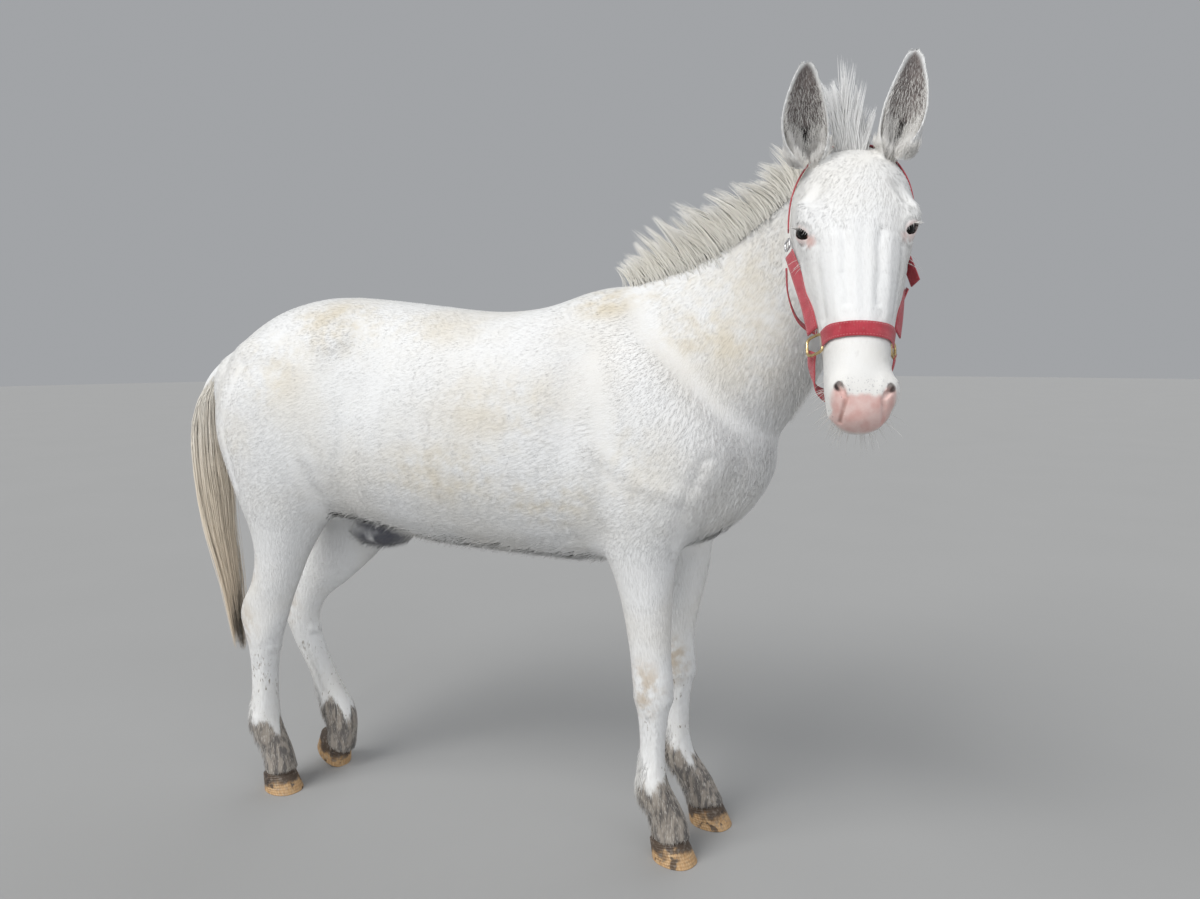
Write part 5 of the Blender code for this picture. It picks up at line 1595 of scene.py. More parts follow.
def ear_hair_strands(skin, marks):
    """Pale hair inside the ears, which grows from the cup's walls and lies towards the tip."""
    inside = marks["ear"][skin.triangles[:, 0]]
    height = np.zeros(len(inside))
    for side in (-1, 1):
        root, axis, _, _ = ear_frame(side)
        nearer = (skin.middles[:, 0] > EARS_PART) == (side > 0)
        rise = (skin.middles - np.array(root)) @ np.array(axis.normalized()) / axis.length
        height[nearer] = rise[nearer]
    edge = inside * (1.12 - inside) * (1 - ease(height, 0.66, 0.86))
    edge += 0.8 * inside * (1 - ease(height, 0.10, 0.40))
    edge *= 1 - 0.9 * marks["slot"][skin.triangles[:, 0]]
    weights, _ = closeness(skin.middles)
    on_ear = ease(weights[:, 3] + weights[:, 4], 0.3, 0.6)
    edge += 0.6 * on_ear * (1 - ease(np.abs(height - 0.05), 0.04, 0.10))
    total = (skin.areas * edge).sum()
    places, facing = skin.roots(edge * EAR_HAIRS / total + 1e-9, seed=41)
    draw = np.random.default_rng(42)
    count = len(places)
    sides = places[:, 0] > EARS_PART
    axes = {side: unit(np.array(ear_frame(side)[1])) for side in (-1, 1)}
    fronts = {side: np.array(ear_frame(side)[2]) for side in (-1, 1)}
    axis = np.where(sides[:, None], axes[1], axes[-1])
    front = np.where(sides[:, None], fronts[1], fronts[-1])
    bottoms = {side: np.array(ear_frame(side)[0]) for side in (-1, 1)}
    rise = np.sum((places - np.where(sides[:, None], bottoms[1], bottoms[-1])) * axis, axis=1)
    long = (draw.uniform(0.009, 0.020, count) * (1.5 - ease(rise, 0.02, 0.13)))[:, None]
    way = unit(axis * 0.8 + facing * 0.50 + front * 0.25 + draw.normal(0, 0.15, (count, 3)))
    end = unit(axis * 1.0 + front * 0.15 + draw.normal(0, 0.2, (count, 3)))
    paths = hair_paths(places, facing, way, end, long)
    widths = draw.uniform(0.0005, 0.0009, count)
    return paths, widths, widths * 0.5, front


LASHES = 30


def lash_strands():
    """White lashes along each upper lid."""
    spread = np.random.default_rng(51)
    rows = []
    flats = []
    for side in (-1, 1):
        axes = eye_axes(side)
        for k in range(LASHES):
            share = (k + 0.5) / LASHES
            x = LID_WIDTH * (0.90 * share - 0.98)
            rim = LID_OPEN * (1 - (x / (LID_WIDTH * 1.05)) ** 2)
            out = math.sqrt(max(0.0, (EYE_RADIUS + 0.003) ** 2 - x * x - rim * rim))
            root = eye_middle(side) + axes @ Vector((x, out, rim + 0.001))
            push = Vector(spread.normal(0, 0.10, 3))
            long = spread.uniform(0.008, 0.015)
            mid = root + axes @ (Vector((x * 22, 0.9, 0.35)).normalized() * long * 0.55 + push * long * 0.3)
            end = mid + axes @ (Vector((x * 34, 0.55, -0.25)).normalized() * long * 0.5 + push * long * 0.4)
            rows.append((root, mid, end))
            flats.append(axes @ Vector((0, 0, 1)))
    paths = bent(rows)
    widths = spread.uniform(0.0007, 0.0011, len(paths))
    return paths, widths, widths * 0.6, np.array([tuple(flat) for flat in flats])


WHISKERS = 150


def whisker_strands(tree):
    """Long pale whiskers on the lips and chin, and a few under the eyes."""
    spread = np.random.default_rng(61)
    rows = []
    for k in range(WHISKERS):
        side = 1 if k % 2 else -1
        if k % 15 == 0:
            spot = (0.185 + spread.normal(0, 0.012), side * 0.085, -0.060 + spread.normal(0, 0.008))
            long = spread.uniform(0.020, 0.036)
        else:
            along = spread.uniform(0.400, 0.490)
            left = side * spread.uniform(0.004, 0.050)
            spot = (along, left, spread.uniform(-0.13, -0.060))
            long = spread.uniform(0.014, 0.048)
        place, normal, _, _ = tree.find_nearest(head_point(*spot))
        push = Vector(spread.normal(0, 0.22, 3))
        ahead = (normal * 0.8 + HEAD_TURN @ Vector((0.25, 0, -0.25)) + push).normalized()
        mid = place - normal * 0.001 + ahead * long * 0.5
        end = mid + (ahead + Vector((0, 0, -0.7)) + push * 0.4).normalized() * long * 0.5
        rows.append((place - normal * 0.001, mid, end))
    paths = bent(rows)
    widths = np.full(len(paths), 0.0007)
    return paths, widths, widths * 0.8, np.tile((1.0, 0.0, 0.2), (len(paths), 1))


# Materials


class Finish:
    """A material, with short ways to add its nodes."""

    def __init__(self, name, **values):
        self.material = bpy.data.materials.new(name)
        self.material.use_nodes = True
        self.tree = self.material.node_tree
        self.shader = self.tree.nodes["Principled BSDF"]
        for socket, value in values.items():
            self.shader.inputs[socket.replace("_", " ")].default_value = value

    def node(self, kind, **settings):
        made = self.tree.nodes.new(kind)
        for name, value in settings.items():
            setattr(made, name, value)
        return made

    def wire(self, source, socket):
        """Link a node's output to a socket, or set a plain value there."""
        if isinstance(source, bpy.types.NodeSocket):
            self.tree.links.new(source, socket)
        else:
            socket.default_value = source

    def mark(self, name):
        return self.node("ShaderNodeAttribute", attribute_name=name).outputs["Fac"]

    def places(self, stretch=(1, 1, 1)):
        where = self.node("ShaderNodeNewGeometry").outputs["Position"]
        scaled = self.node("ShaderNodeVectorMath", operation="MULTIPLY")
        self.wire(where, scaled.inputs[0])
        scaled.inputs[1].default_value = stretch
        return scaled.outputs[0]

    def noise(self, scale, detail=3.0, stretch=(1, 1, 1), distortion=0.0):
        made = self.node("ShaderNodeTexNoise")
        self.wire(self.places(stretch), made.inputs["Vector"])
        made.inputs["Scale"].default_value = scale
        made.inputs["Detail"].default_value = detail
        made.inputs["Distortion"].default_value = distortion
        return made.outputs["Fac"]

    def math(self, operation, a, b=0.0):
        made = self.node("ShaderNodeMath", operation=operation)
        self.wire(a, made.inputs[0])
        self.wire(b, made.inputs[1])
        return made.outputs[0]

    def times(self, a, b):
        return self.math("MULTIPLY", a, b)

    def step(self, value, low, high):
        """0 below low, 1 above high, smooth between them."""
        made = self.node("ShaderNodeMapRange", interpolation_type="SMOOTHSTEP")
        self.wire(value, made.inputs["Value"])
        self.wire(low, made.inputs["From Min"])
        self.wire(high, made.inputs["From Max"])
        return made.outputs["Result"]

    def mix(self, share, a, b):
        """Colour a where the share is 0 and b where it is 1."""
        made = self.node("ShaderNodeMix", data_type="RGBA")
        self.wire(share, made.inputs["Factor"])
        for value, socket in ((a, made.inputs["A"]), (b, made.inputs["B"])):
            self.wire((*value, 1.0) if isinstance(value, tuple) else value, socket)
        return made.outputs["Result"]

    def tint(self, colour, other, share, strength):
        """The colour with some of another one, by the share times the strength."""
        return self.mix(self.times(share, strength), colour, other)

    def specks(self, scale, detail, low, high):
        """Patches of noise between two levels."""
        return self.step(self.noise(scale, detail), low, high)

    def coloured(self, colour):
        """The finished material, in this colour."""
        self.wire(colour, self.shader.inputs["Base Color"])
        return self.material

    def bump(self, height, depth, strength=1.0):
        made = self.node("ShaderNodeBump")
        made.inputs["Strength"].default_value = strength
        made.inputs["Distance"].default_value = depth
        self.wire(height, made.inputs["Height"])
        self.wire(made.outputs["Normal"], self.shader.inputs["Normal"])


WHITE = (0.88, 0.885, 0.885)
WARM_WHITE = (0.84, 0.825, 0.79)
CREAM = (0.72, 0.63, 0.46)
PINK = (0.70, 0.41, 0.37)
PALE_PINK = (0.80, 0.59, 0.55)
# Painted shade in the creases: the nostrils' slits and the line of the lips
GROOVE_SHADE = (0.34, 0.17, 0.14)
# Painted shade round the lid openings, strongest under the upper lid and in the inner corners
LID_SHADE = (0.040, 0.030, 0.030)
MUD = (0.048, 0.035, 0.029)
DRY_MUD = (0.30, 0.255, 0.21)
TAN = (0.50, 0.38, 0.24)
GREY_SKIN = (0.085, 0.088, 0.110)
# Painted shade deep in the nostrils
EAR_SKIN = (0.20, 0.165, 0.155)
NOSTRIL_SHADE = (0.030, 0.014, 0.012)
WET_MUD = (0.60, 0.56, 0.51)
NOSE_DOTS = (0.34, 0.34, 0.36)
DARK_EAR = (0.080, 0.066, 0.064)
# Painted shade at the bottom of the ears' cups
EAR_SLOT_SHADE = (0.022, 0.016, 0.015)
FUR_SHADE = (0.66, 0.62, 0.54)
EAR_FUR = (0.33, 0.29, 0.27)
# Painted shade on the tufts at the bottom of the ears' cups
EAR_FUR_SLOT_SHADE = (0.035, 0.028, 0.026)
IRIS_DARK = (0.008, 0.005, 0.004)
IRIS_LIGHT = (0.022, 0.012, 0.008)
PUPIL = (0.002, 0.002, 0.002)
EYE_WHITE = (0.16, 0.10, 0.09)
HORN_TAN = (0.46, 0.26, 0.11)
HORN_CREAM = (0.62, 0.43, 0.24)
WEB_RED = (0.50, 0.018, 0.040)
WEB_FADED = (0.62, 0.045, 0.075)
WEB_SHADE = (0.36, 0.010, 0.025)
WEB_EDGE = (0.66, 0.16, 0.17)
WEB_THREAD = (0.74, 0.22, 0.24)
WEB_DUST = (0.55, 0.42, 0.36)

# Root, middle and tip of each kind of long hair
PALE_HAIR = ((0.80, 0.77, 0.72), (0.82, 0.80, 0.77), (0.86, 0.85, 0.83))
MANE_HAIR = ((0.88, 0.860, 0.79), (0.89, 0.855, 0.77), (0.91, 0.895, 0.86))
FORELOCK_HAIR = ((0.78, 0.77, 0.75), (0.86, 0.86, 0.85), (0.90, 0.90, 0.90))
# Painted shade in the gaps at the forelock's roots
FORELOCK_ROOT_SHADE = (0.10, 0.095, 0.10)
TAIL_HAIR = ((0.88, 0.84, 0.76), (0.84, 0.74, 0.60), (0.76, 0.63, 0.48))


def coat_colour(finish, hair):
    """The markings that skin and coat share."""
    broad = finish.noise(5.0, 4.0)
    fine = finish.noise(38.0, 5.0)
    ragged = finish.math("ADD", finish.times(broad, 0.6), finish.times(fine, 0.4))
    colour = finish.mix(finish.step(broad, 0.40, 0.72), WHITE, WARM_WHITE)
    stain = finish.times(finish.mark("stain"), finish.step(ragged, 0.36, 0.62))
    colour = finish.tint(colour, CREAM, stain, 0.88)
    tan = finish.times(finish.mark("tan"), finish.step(fine, 0.36, 0.66))
    colour = finish.tint(colour, TAN, tan, 0.62)
    speck = finish.noise(210.0, 3.0, (1, 1, 0.30))
    gathered = finish.specks(20.0, 3.0, 0.46, 0.60)
    specks = finish.times(finish.mark("specks"), finish.step(speck, 0.60, 0.68))
    specks = finish.times(specks, gathered)
    colour = finish.tint(colour, DRY_MUD, specks, 0.85)
    streaks = finish.noise(95.0, 4.0, (1, 1, 0.22))
    clods = finish.noise(34.0, 5.0)
    torn = finish.math("ADD", finish.times(streaks, 0.75), finish.times(clods, 0.75))
    mud_edge = finish.math("ADD", finish.mark("mud"), torn)
    mud = finish.step(mud_edge, 0.92, 1.36)
    mud_colour = finish.mix(finish.step(streaks, 0.38, 0.60), MUD, DRY_MUD)
    if hair:
        wet = finish.step(finish.mark("shade"), 0.58, 0.88)
        mud_colour = finish.mix(wet, mud_colour, WET_MUD)
    colour = finish.tint(colour, mud_colour, mud, 0.90)
    grey = finish.times(finish.mark("grey"), finish.step(ragged, 0.24, 0.46))
    colour = finish.mix(grey, colour, GREY_SKIN)
    blotch = finish.noise(60.0, 4.0)
    pink_colour = finish.mix(finish.step(blotch, 0.20, 0.74), PINK, PALE_PINK)
    nose_speck = finish.specks(170.0, 2.0, 0.70, 0.76)
    pink_colour = finish.tint(pink_colour, GREY_SKIN, nose_speck, 0.55)
    colour = finish.mix(finish.mark("pink"), colour, pink_colour)
    dots = finish.times(finish.mark("nose"), finish.specks(330.0, 2.0, 0.58, 0.68))
    colour = finish.tint(colour, NOSE_DOTS, dots, 0.60)
    if not hair:
        dim = finish.times(finish.specks(70.0, 4.0, 0.30, 0.62), 0.6)
        ear_colour = finish.mix(dim, EAR_SKIN, DARK_EAR)
        # Painted shade at the bottom of the ear's cup
        ear_colour = finish.mix(finish.mark("slot"), ear_colour, EAR_SLOT_SHADE)
        colour = finish.mix(finish.mark("ear"), colour, ear_colour)
        # Painted shade in the creases of the nostrils' slits and the lips
        colour = finish.tint(colour, GROOVE_SHADE, finish.mark("groove"), 0.75)
        # Painted shade round the lid openings and in the inner corners
        colour = finish.tint(colour, LID_SHADE, finish.mark("rim"), 0.85)
        # Painted shade deep in the nostrils
        colour = finish.mix(finish.mark("deep"), colour, NOSTRIL_SHADE)
    return colour


def skin_finish():
    """White skin under the coat: bump for the flat fur, bare and pink at the muzzle."""
    finish = Finish("white_skin", Roughness=0.62, Sheen_Weight=0.25, Sheen_Roughness=0.45)
    colour = coat_colour(finish, hair=False)
    finish.wire(colour, finish.shader.inputs["Base Color"])
    lengthwise = finish.noise(260.0, 3.0, (0.18, 1.0, 0.8), 0.6)
    downwards = finish.noise(260.0, 3.0, (1.0, 1.0, 0.18), 0.6)
    fur = finish.mix(finish.mark("upright"), lengthwise, downwards)
    pores = finish.noise(900.0, 2.0)
    surface = finish.mix(finish.mark("pink"), fur, pores)
    finish.bump(surface, 0.0012, 0.40)
    rough = finish.math("SUBTRACT", 0.70, finish.times(finish.mark("pink"), 0.26))
    finish.wire(rough, finish.shader.inputs["Roughness"])
    return finish.material


def fur_finish():
    """The coat's tufts, each a little lighter or darker than the next."""
    finish = Finish("white_fur", Roughness=0.55, Sheen_Weight=0.30, Sheen_Roughness=0.4)
    colour = coat_colour(finish, hair=True)
    shade = finish.times(finish.mark("shade"), 0.14)
    colour = finish.mix(shade, colour, FUR_SHADE)
    colour = finish.tint(colour, EAR_FUR, finish.mark("ear"), 0.60)
    # Painted shade on the tufts at the bottom of the ears' cups
    colour = finish.mix(finish.mark("slot"), colour, EAR_FUR_SLOT_SHADE)
    return finish.coloured(colour)


def long_hair_finish(name, root, middle, tip, root_shade=None):
    """Long hair that changes colour from root to tip, strand by strand."""
    finish = Finish(name, Roughness=0.42, Sheen_Weight=0.2)
    along = finish.mark("along")
    colour = finish.mix(finish.step(along, 0.05, 0.55), root, middle)
    colour = finish.mix(finish.step(along, 0.50, 1.0), colour, tip)
    shade = finish.mark("shade")
    colour = finish.tint(colour, tuple(c * 0.66 for c in middle), shade, 0.30)
    # Painted shade in patches near the roots, where the strands shade each other
    if root_shade:
        low = finish.math("SUBTRACT", 1.0, finish.step(along, 0.02, 0.30))
        patchy_root_shade = finish.times(low, finish.specks(90.0, 3.0, 0.44, 0.60))
        colour = finish.tint(colour, root_shade, patchy_root_shade, 0.7)
    streak = finish.noise(420.0, 2.0, (1, 1, 0.2))
    colour = finish.tint(colour, tip, finish.step(streak, 0.5, 0.75), 0.25)
    return finish.coloured(colour)


def eye_finish():
    """A dark, wet eye with a brown iris round a level pupil."""
    finish = Finish("wet_eye", Roughness=0.10, Coat_Weight=0.12, Coat_Roughness=0.02, IOR=1.25)
    rays = finish.noise(520.0, 3.0)
    iris = finish.mix(finish.step(rays, 0.35, 0.65), IRIS_DARK, IRIS_LIGHT)
    colour = finish.mix(finish.mark("iris"), PUPIL, iris)
    colour = finish.mix(finish.mark("white"), colour, EYE_WHITE)
    return finish.coloured(colour)


def horn_finish():
    """Tan and cream horn with growth rings, upright streaks and dark blotches under the coronet."""
    finish = Finish("hoof_horn", Roughness=0.5)
    up = finish.mark("up")
    round_it = finish.mark("round")
    coords = finish.node("ShaderNodeCombineXYZ")
    finish.wire(finish.times(round_it, 34.0), coords.inputs["X"])
    finish.wire(finish.times(up, 1.6), coords.inputs["Y"])
    streak = finish.node("ShaderNodeTexNoise")
    streak.inputs["Scale"].default_value = 2.0
    streak.inputs["Detail"].default_value = 4.0
    finish.wire(coords.outputs[0], streak.inputs["Vector"])
    streaks = streak.outputs["Fac"]
    colour = finish.mix(finish.step(streaks, 0.36, 0.66), HORN_TAN, HORN_CREAM)
    dark = finish.math("ADD", up, finish.times(finish.noise(30.0, 4.0), 1.3))
    colour = finish.tint(colour, MUD, finish.step(dark, 1.00, 1.30), 0.92)
    blotch = finish.specks(44.0, 3.0, 0.58, 0.66)
    colour = finish.tint(colour, MUD, blotch, 0.85)
    dirt = finish.specks(120.0, 4.0, 0.52, 0.66)
    colour = finish.tint(colour, DRY_MUD, dirt, 0.4)
    finish.wire(colour, finish.shader.inputs["Base Color"])
    ring = finish.math("SINE", finish.times(up, 58.0))
    rough = finish.math("ADD", finish.times(ring, 0.4), streaks)
    finish.bump(rough, 0.0012, 0.6)
    return finish.material


def webbing_finish():
    """Red flat webbing: a fine weave, two seams near the edges, faded and dusty where it rubs."""
    finish = Finish("red_webbing_weave", Roughness=0.72, Sheen_Weight=0.35, Sheen_Roughness=0.5)
    across = finish.mark("across")
    along = finish.mark("along")
    warp = finish.math("SINE", finish.times(across, 25.0 * math.pi))
    weft = finish.math("SINE", finish.times(along, 2600.0))
    weave = finish.math("ADD", finish.times(warp, 0.5), finish.times(weft, 0.5))
    seam_gap = finish.math("ABSOLUTE", finish.math("SUBTRACT", finish.math("ABSOLUTE", across), 0.76), 0.0)
    seam = finish.math("SUBTRACT", 1.0, finish.step(seam_gap, 0.03, 0.07))
    stitch = finish.step(finish.math("SINE", finish.times(along, 1300.0)), -0.3, 0.1)
    thread = finish.times(seam, stitch)
    worn = finish.noise(55.0, 5.0)
    colour = finish.mix(finish.step(worn, 0.35, 0.70), WEB_RED, WEB_FADED)
    colour = finish.tint(colour, WEB_SHADE, finish.step(weave, -0.8, 0.9), 0.35)
    edge = finish.step(finish.math("ABSOLUTE", across), 0.86, 1.0)
    colour = finish.tint(colour, WEB_EDGE, edge, 0.45)
    colour = finish.tint(colour, WEB_THREAD, thread, 0.65)
    dust = finish.specks(150.0, 3.0, 0.60, 0.75)
    colour = finish.tint(colour, WEB_DUST, dust, 0.18)
    finish.wire(colour, finish.shader.inputs["Base Color"])
    finish.bump(finish.math("ADD", weave, finish.times(thread, 1.6)), 0.0004, 0.8)
    return finish.material


def metal_finish(name, bright, dull):
    """Polished metal with fine scratches, tarnished in patches."""
    finish = Finish(name, Metallic=1.0, Roughness=0.28)
    tarnish = finish.specks(140.0, 4.0, 0.42, 0.68)
    finish.wire(finish.mix(tarnish, bright, dull), finish.shader.inputs["Base Color"])
    rough = finish.math("ADD", 0.20, finish.times(tarnish, 0.25))
    finish.wire(rough, finish.shader.inputs["Roughness"])
    finish.bump(finish.noise(1400.0, 2.0, (1, 1, 0.1)), 0.0001, 0.3)
    return finish.material


def floor_finish():
    finish = Finish("pale_floor", Roughness=0.9)
    colour = finish.mix(finish.noise(1.5, 3.0), (0.365, 0.365, 0.362), (0.385, 0.385, 0.382))
    return finish.coloured(colour)


# Placing the pieces


def place(name, mesh, material, slot, *nodes):
    """Set a finished mesh in the part's frame, in place of its CAD nodes."""
    mesh.transform(Matrix.Translation(-ORIGIN))
    thing = link(name, mesh)
    mesh.materials.clear()
    mesh.materials.append(material)
    mesh.shade_smooth()
    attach(thing, "root")
    if nodes:
        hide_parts(*nodes)
    return thing


def dress_hair(mesh, per_hair, share, shades, marks=None):
    """Give each strand's vertices its shade, its marks and how far along they lie."""
    values = {"shade": np.repeat(shades, per_hair)}
    if share is not None:
        values["along"] = np.tile(np.repeat(share, 3), len(shades))
    for name, numbers in (marks or {}).items():
        values[name] = np.repeat(numbers, per_hair)
    set_marks(mesh, values)


SOFTNESS = 0.80


def place_strands(name, strands, material, slot, *nodes, soft=None):
    paths, widths, thick, flat = strands
    mesh = strand_mesh(paths, widths, thick, flat)
    draw = np.random.default_rng(len(name))
    shades = np.clip(draw.normal(0.45, 0.28, len(paths)), 0, 1)
    marks = markings(paths[:, 0], flat)
    dress_hair(mesh, paths.shape[1] * 3, np.linspace(0, 1, paths.shape[1]), shades, marks)
    thing = place(name, mesh, material, slot, *nodes)
    if soft is not None:
        own = normals_of(mesh)
        turned = unit(own + np.repeat(soft, paths.shape[1] * 3, axis=0) * SOFTNESS)
        mesh.normals_split_custom_set_from_vertices(turned.tolist())
    return thing


def place_coats(skin, routes, material):
    """The tufts in pieces, part by part."""
    places, facing, lies, lengths, widths, lifts, shade = coats(skin, routes)
    marks = markings(places, facing)
    keep = marks["deep"] < 0.3
    weights, _ = closeness(places)
    nearest = np.argmax(weights, axis=1)
    names = np.array(PART_NAMES)[nearest]
    groups = {
        "coat_trunk_right": (names == "trunk") & (places[:, 1] < 0),
        "coat_trunk_left": (names == "trunk") & (places[:, 1] >= 0),
        "coat_neck": names == "neck",
        "coat_head": names == "head",
        "coat_ears": (names == "ear_right") | (names == "ear_left"),
        "coat_forelegs": (names == "foreleg_right") | (names == "foreleg_left"),
        "coat_hindlegs": (names == "hindleg_right") | (names == "hindleg_left") | (names == "tail"),
    }
    for name, chosen in groups.items():
        mine = chosen & keep
        tufts = (part[mine] for part in (places, lies, facing, lengths, widths, lifts))
        mesh, soft = tuft_mesh(*tufts)
        dress_hair(mesh, 4, None, shade[mine], {key: values[mine] for key, values in marks.items()})
        place(name, mesh, material, "white_coat")
        mesh.normals_split_custom_set_from_vertices(soft.tolist())
        print(name, len(mesh.polygons), "triangles")


# The eyes


def eye(side):
    """A globe with a bulging cornea. Each vertex knows whether it is iris, pupil or white."""
    work = bmesh.new()
    bmesh.ops.create_uvsphere(work, u_segments=72, v_segments=48, radius=1.0)
    mesh = bpy.data.meshes.new("eye")
    work.to_mesh(mesh)
    work.free()
    ways = coordinates(mesh)
    outness = ways[:, 2]
    radius = (EYE_RADIUS - 0.0004) * (1 + 0.05 * ease(outness, 0.72, 0.95))
    axes = np.array(eye_axes(side))
    local = np.stack([ways[:, 0], outness, ways[:, 1]], axis=1)
    move_to(mesh, np.array(eye_middle(side)) + (local * radius[:, None]) @ axes.T)
    from_middle = np.hypot(local[:, 0], local[:, 2])
    pupil = np.hypot(local[:, 0] / 0.52, local[:, 2] / 0.30)
    iris = ease(pupil, 0.85, 1.10) * (1 - ease(from_middle, 0.66, 0.74))
    white = ease(from_middle, 0.78, 0.86) * (local[:, 1] > 0)
    set_marks(mesh, {"iris": iris, "white": white})
    return outward(mesh)


def eye_corner(side):
    """The wet pink lobe in the inner corner of the eye."""
    axes = eye_axes(side)
    spot = eye_middle(side) + axes @ Vector((0.0150, EYE_RADIUS * 0.62, -0.0010))
    return lobe(spot, (0.0048, 0.0038, 0.0030), axes, 4)


def pink_finish():
    finish = Finish("wet_pink", Roughness=0.25, Coat_Weight=0.4)
    colour = finish.mix(finish.noise(600.0, 3.0), (0.55, 0.20, 0.18), (0.72, 0.38, 0.34))
    return finish.coloured(colour)


# The hooves


def hoof(foot):
    """A fine wall with growth rings, rounded at the coronet, over a flat sole."""
    sides, rows = 72, 26
    draw = random.Random(int(foot.middle.x * 1000))
    phase = draw.uniform(0, math.tau)
    points, ups, rounds = [], [], []
    shares = [0.0, 0.02] + [0.04 + 0.92 * k / rows for k in range(rows + 1)] + [0.985, 1.0]
    for share in shares:
        ring = 0.006 * math.sin(share * 34 + phase) * math.sin(math.pi * share)
        lip = -0.030 * (share > 0.99) + -0.012 * (share == 0.0)
        for k in range(sides):
            angle = math.tau * k / sides
            chip = 0.004 * math.sin(angle * 5 + phase) * (share < 0.05)
            swell = ring * (0.6 + 0.4 * math.sin(angle * 3 + phase)) + lip + chip
            points.append(foot.wall_point(angle, share, swell))
            ups.append(share)
            rounds.append(math.sin(angle) * 0.5 + 0.5 + 0.1 * math.cos(angle))
    mesh = outward(mesh_from(points, ring_faces(len(shares), sides)))
    set_marks(mesh, {"up": ups, "round": rounds})
    if foot.tip:
        cut_flat(mesh)
    return mesh


def cut_flat(mesh):
    """Take off what is below the floor, and close the mesh there."""
    work = bmesh.new()
    work.from_mesh(mesh)
    whole = work.verts[:] + work.edges[:] + work.faces[:]
    made = bmesh.ops.bisect_plane(work, geom=whole, plane_co=(0, 0, 0), plane_no=(0, 0, 1),
                                  clear_inner=True)
    rim = [part for part in made["geom_cut"] if isinstance(part, bmesh.types.BMEdge)]
    bmesh.ops.edgeloop_fill(work, edges=rim)
    work.to_mesh(mesh)
    work.free()


# The halter of flat webbing

WEB = 0.025
WEB_THIN = 0.017
WEB_THICK = 0.0026
WEB_CLEAR = 0.0012
LOOSE_END = [(0.150, 0.097, -0.106), (0.166, 0.101, -0.105), (0.182, 0.105, -0.104), (0.198, 0.109, -0.104)]

# Place, half size, wire and lift of each ring, and the way that it looks, in the head's axes
RING_RIGHT = ((0.348, -0.057, -0.060), 0.016, 0.0024, 0.006, (0.05, -0.74, 0.66))
RING_LEFT = ((0.348, 0.057, -0.068), 0.013, 0.0024, 0.002, (0.05, 0.90, 0.40))
BUCKLE = ((0.136, -0.103, -0.088), 0.009, 0.0020, 0.003, (0.05, -0.95, 0.30))

STRAPS = {
    "noseband": [(0.350, -0.062, -0.040), (0.352, -0.052, -0.012), (0.356, -0.022, 0.006),
                 (0.356, 0.022, 0.006), (0.352, 0.052, -0.012), (0.350, 0.062, -0.040)],
    "chin": [(0.352, -0.064, -0.076, 0.0, -0.80, 0.50), (0.374, -0.062, -0.096, 0.0, -0.85, 0.35),
             (0.400, -0.048, -0.119, 0.0, -0.80, -0.30), (0.410, 0.0, -0.136, 0.0, 0.0, -1.0),
             (0.400, 0.048, -0.119, 0.0, 0.80, -0.30), (0.374, 0.059, -0.096, 0.0, 0.85, 0.25),
             (0.354, 0.062, -0.078, 0.0, 0.85, 0.35)],
    "cheek_right": [(0.324, -0.065, -0.062, 0.10, -0.84, 0.52), (0.270, -0.074, -0.067, 0.10, -0.84, 0.52),
                    (0.215, -0.086, -0.076, 0.10, -0.84, 0.52), (0.154, -0.099, -0.088, 0.10, -0.84, 0.52)],
    "cheek_left": [(0.322, 0.064, -0.064, 0.10, 0.84, 0.52), (0.270, 0.073, -0.072, 0.10, 0.84, 0.45),
                   (0.215, 0.083, -0.091, 0.10, 0.90, 0.30), (0.160, 0.089, -0.108, 0.10, 0.95, 0.10)],
    "crown": [(0.104, -0.102, -0.094), (0.070, -0.102, -0.078), (0.030, -0.094, -0.050),
              (-0.022, -0.062, -0.030), (-0.040, 0.0, -0.018), (-0.022, 0.062, -0.030),
              (0.030, 0.094, -0.050), (0.080, 0.102, -0.078), (0.130, 0.100, -0.094)],
    "throat": [(0.166, -0.102, -0.112), (0.204, -0.096, -0.138), (0.236, -0.076, -0.168),
               (0.246, -0.044, -0.188), (0.248, 0.0, -0.190), (0.246, 0.044, -0.188), (0.230, 0.080, -0.166),
               (0.190, 0.100, -0.130)],
}
STRAP_WIDTH = {"throat": WEB_THIN}

# Straps that hang free of the skin
FREE_STRAPS = ("cheek_right", "cheek_left", "throat", "chin")


def web_section(width, thick):
    """Across a strap: places aside and up, with rounded edges, and each one's share across."""
    section = []
    for aside, up in ((-1, 0.5), (-0.97, 0.14), (-0.90, 0), (-0.45, 0), (0, 0), (0.45, 0), (0.90, 0),
                      (0.97, 0.14), (1, 0.5), (0.97, 0.86), (0.90, 1), (0.45, 1), (0, 1), (-0.45, 1),
                      (-0.90, 1), (-0.97, 0.86)):
        section.append((aside * width / 2, up * thick, aside))
    return section


def web_mesh(spots, sides, outs_at, width):
    """Webbing through the spots. outs_at gives the place and the outward way, at a distance aside."""
    points, across_marks, along_marks = [], [], []
    section = web_section(width, WEB_THICK)
    run = 0.0
    for i, spot in enumerate(spots):
        if i:
            run += (spot - spots[i - 1]).length
        for aside, up, share in section:
            place_there, out = outs_at(i, sides[i] * aside)
            points.append(place_there + out * (WEB_CLEAR + up))
            across_marks.append(share)
            along_marks.append(run)
    mesh = outward(mesh_from(points, ring_faces(len(spots), len(section))))
    set_marks(mesh, {"across": across_marks, "along": along_marks})
    return mesh


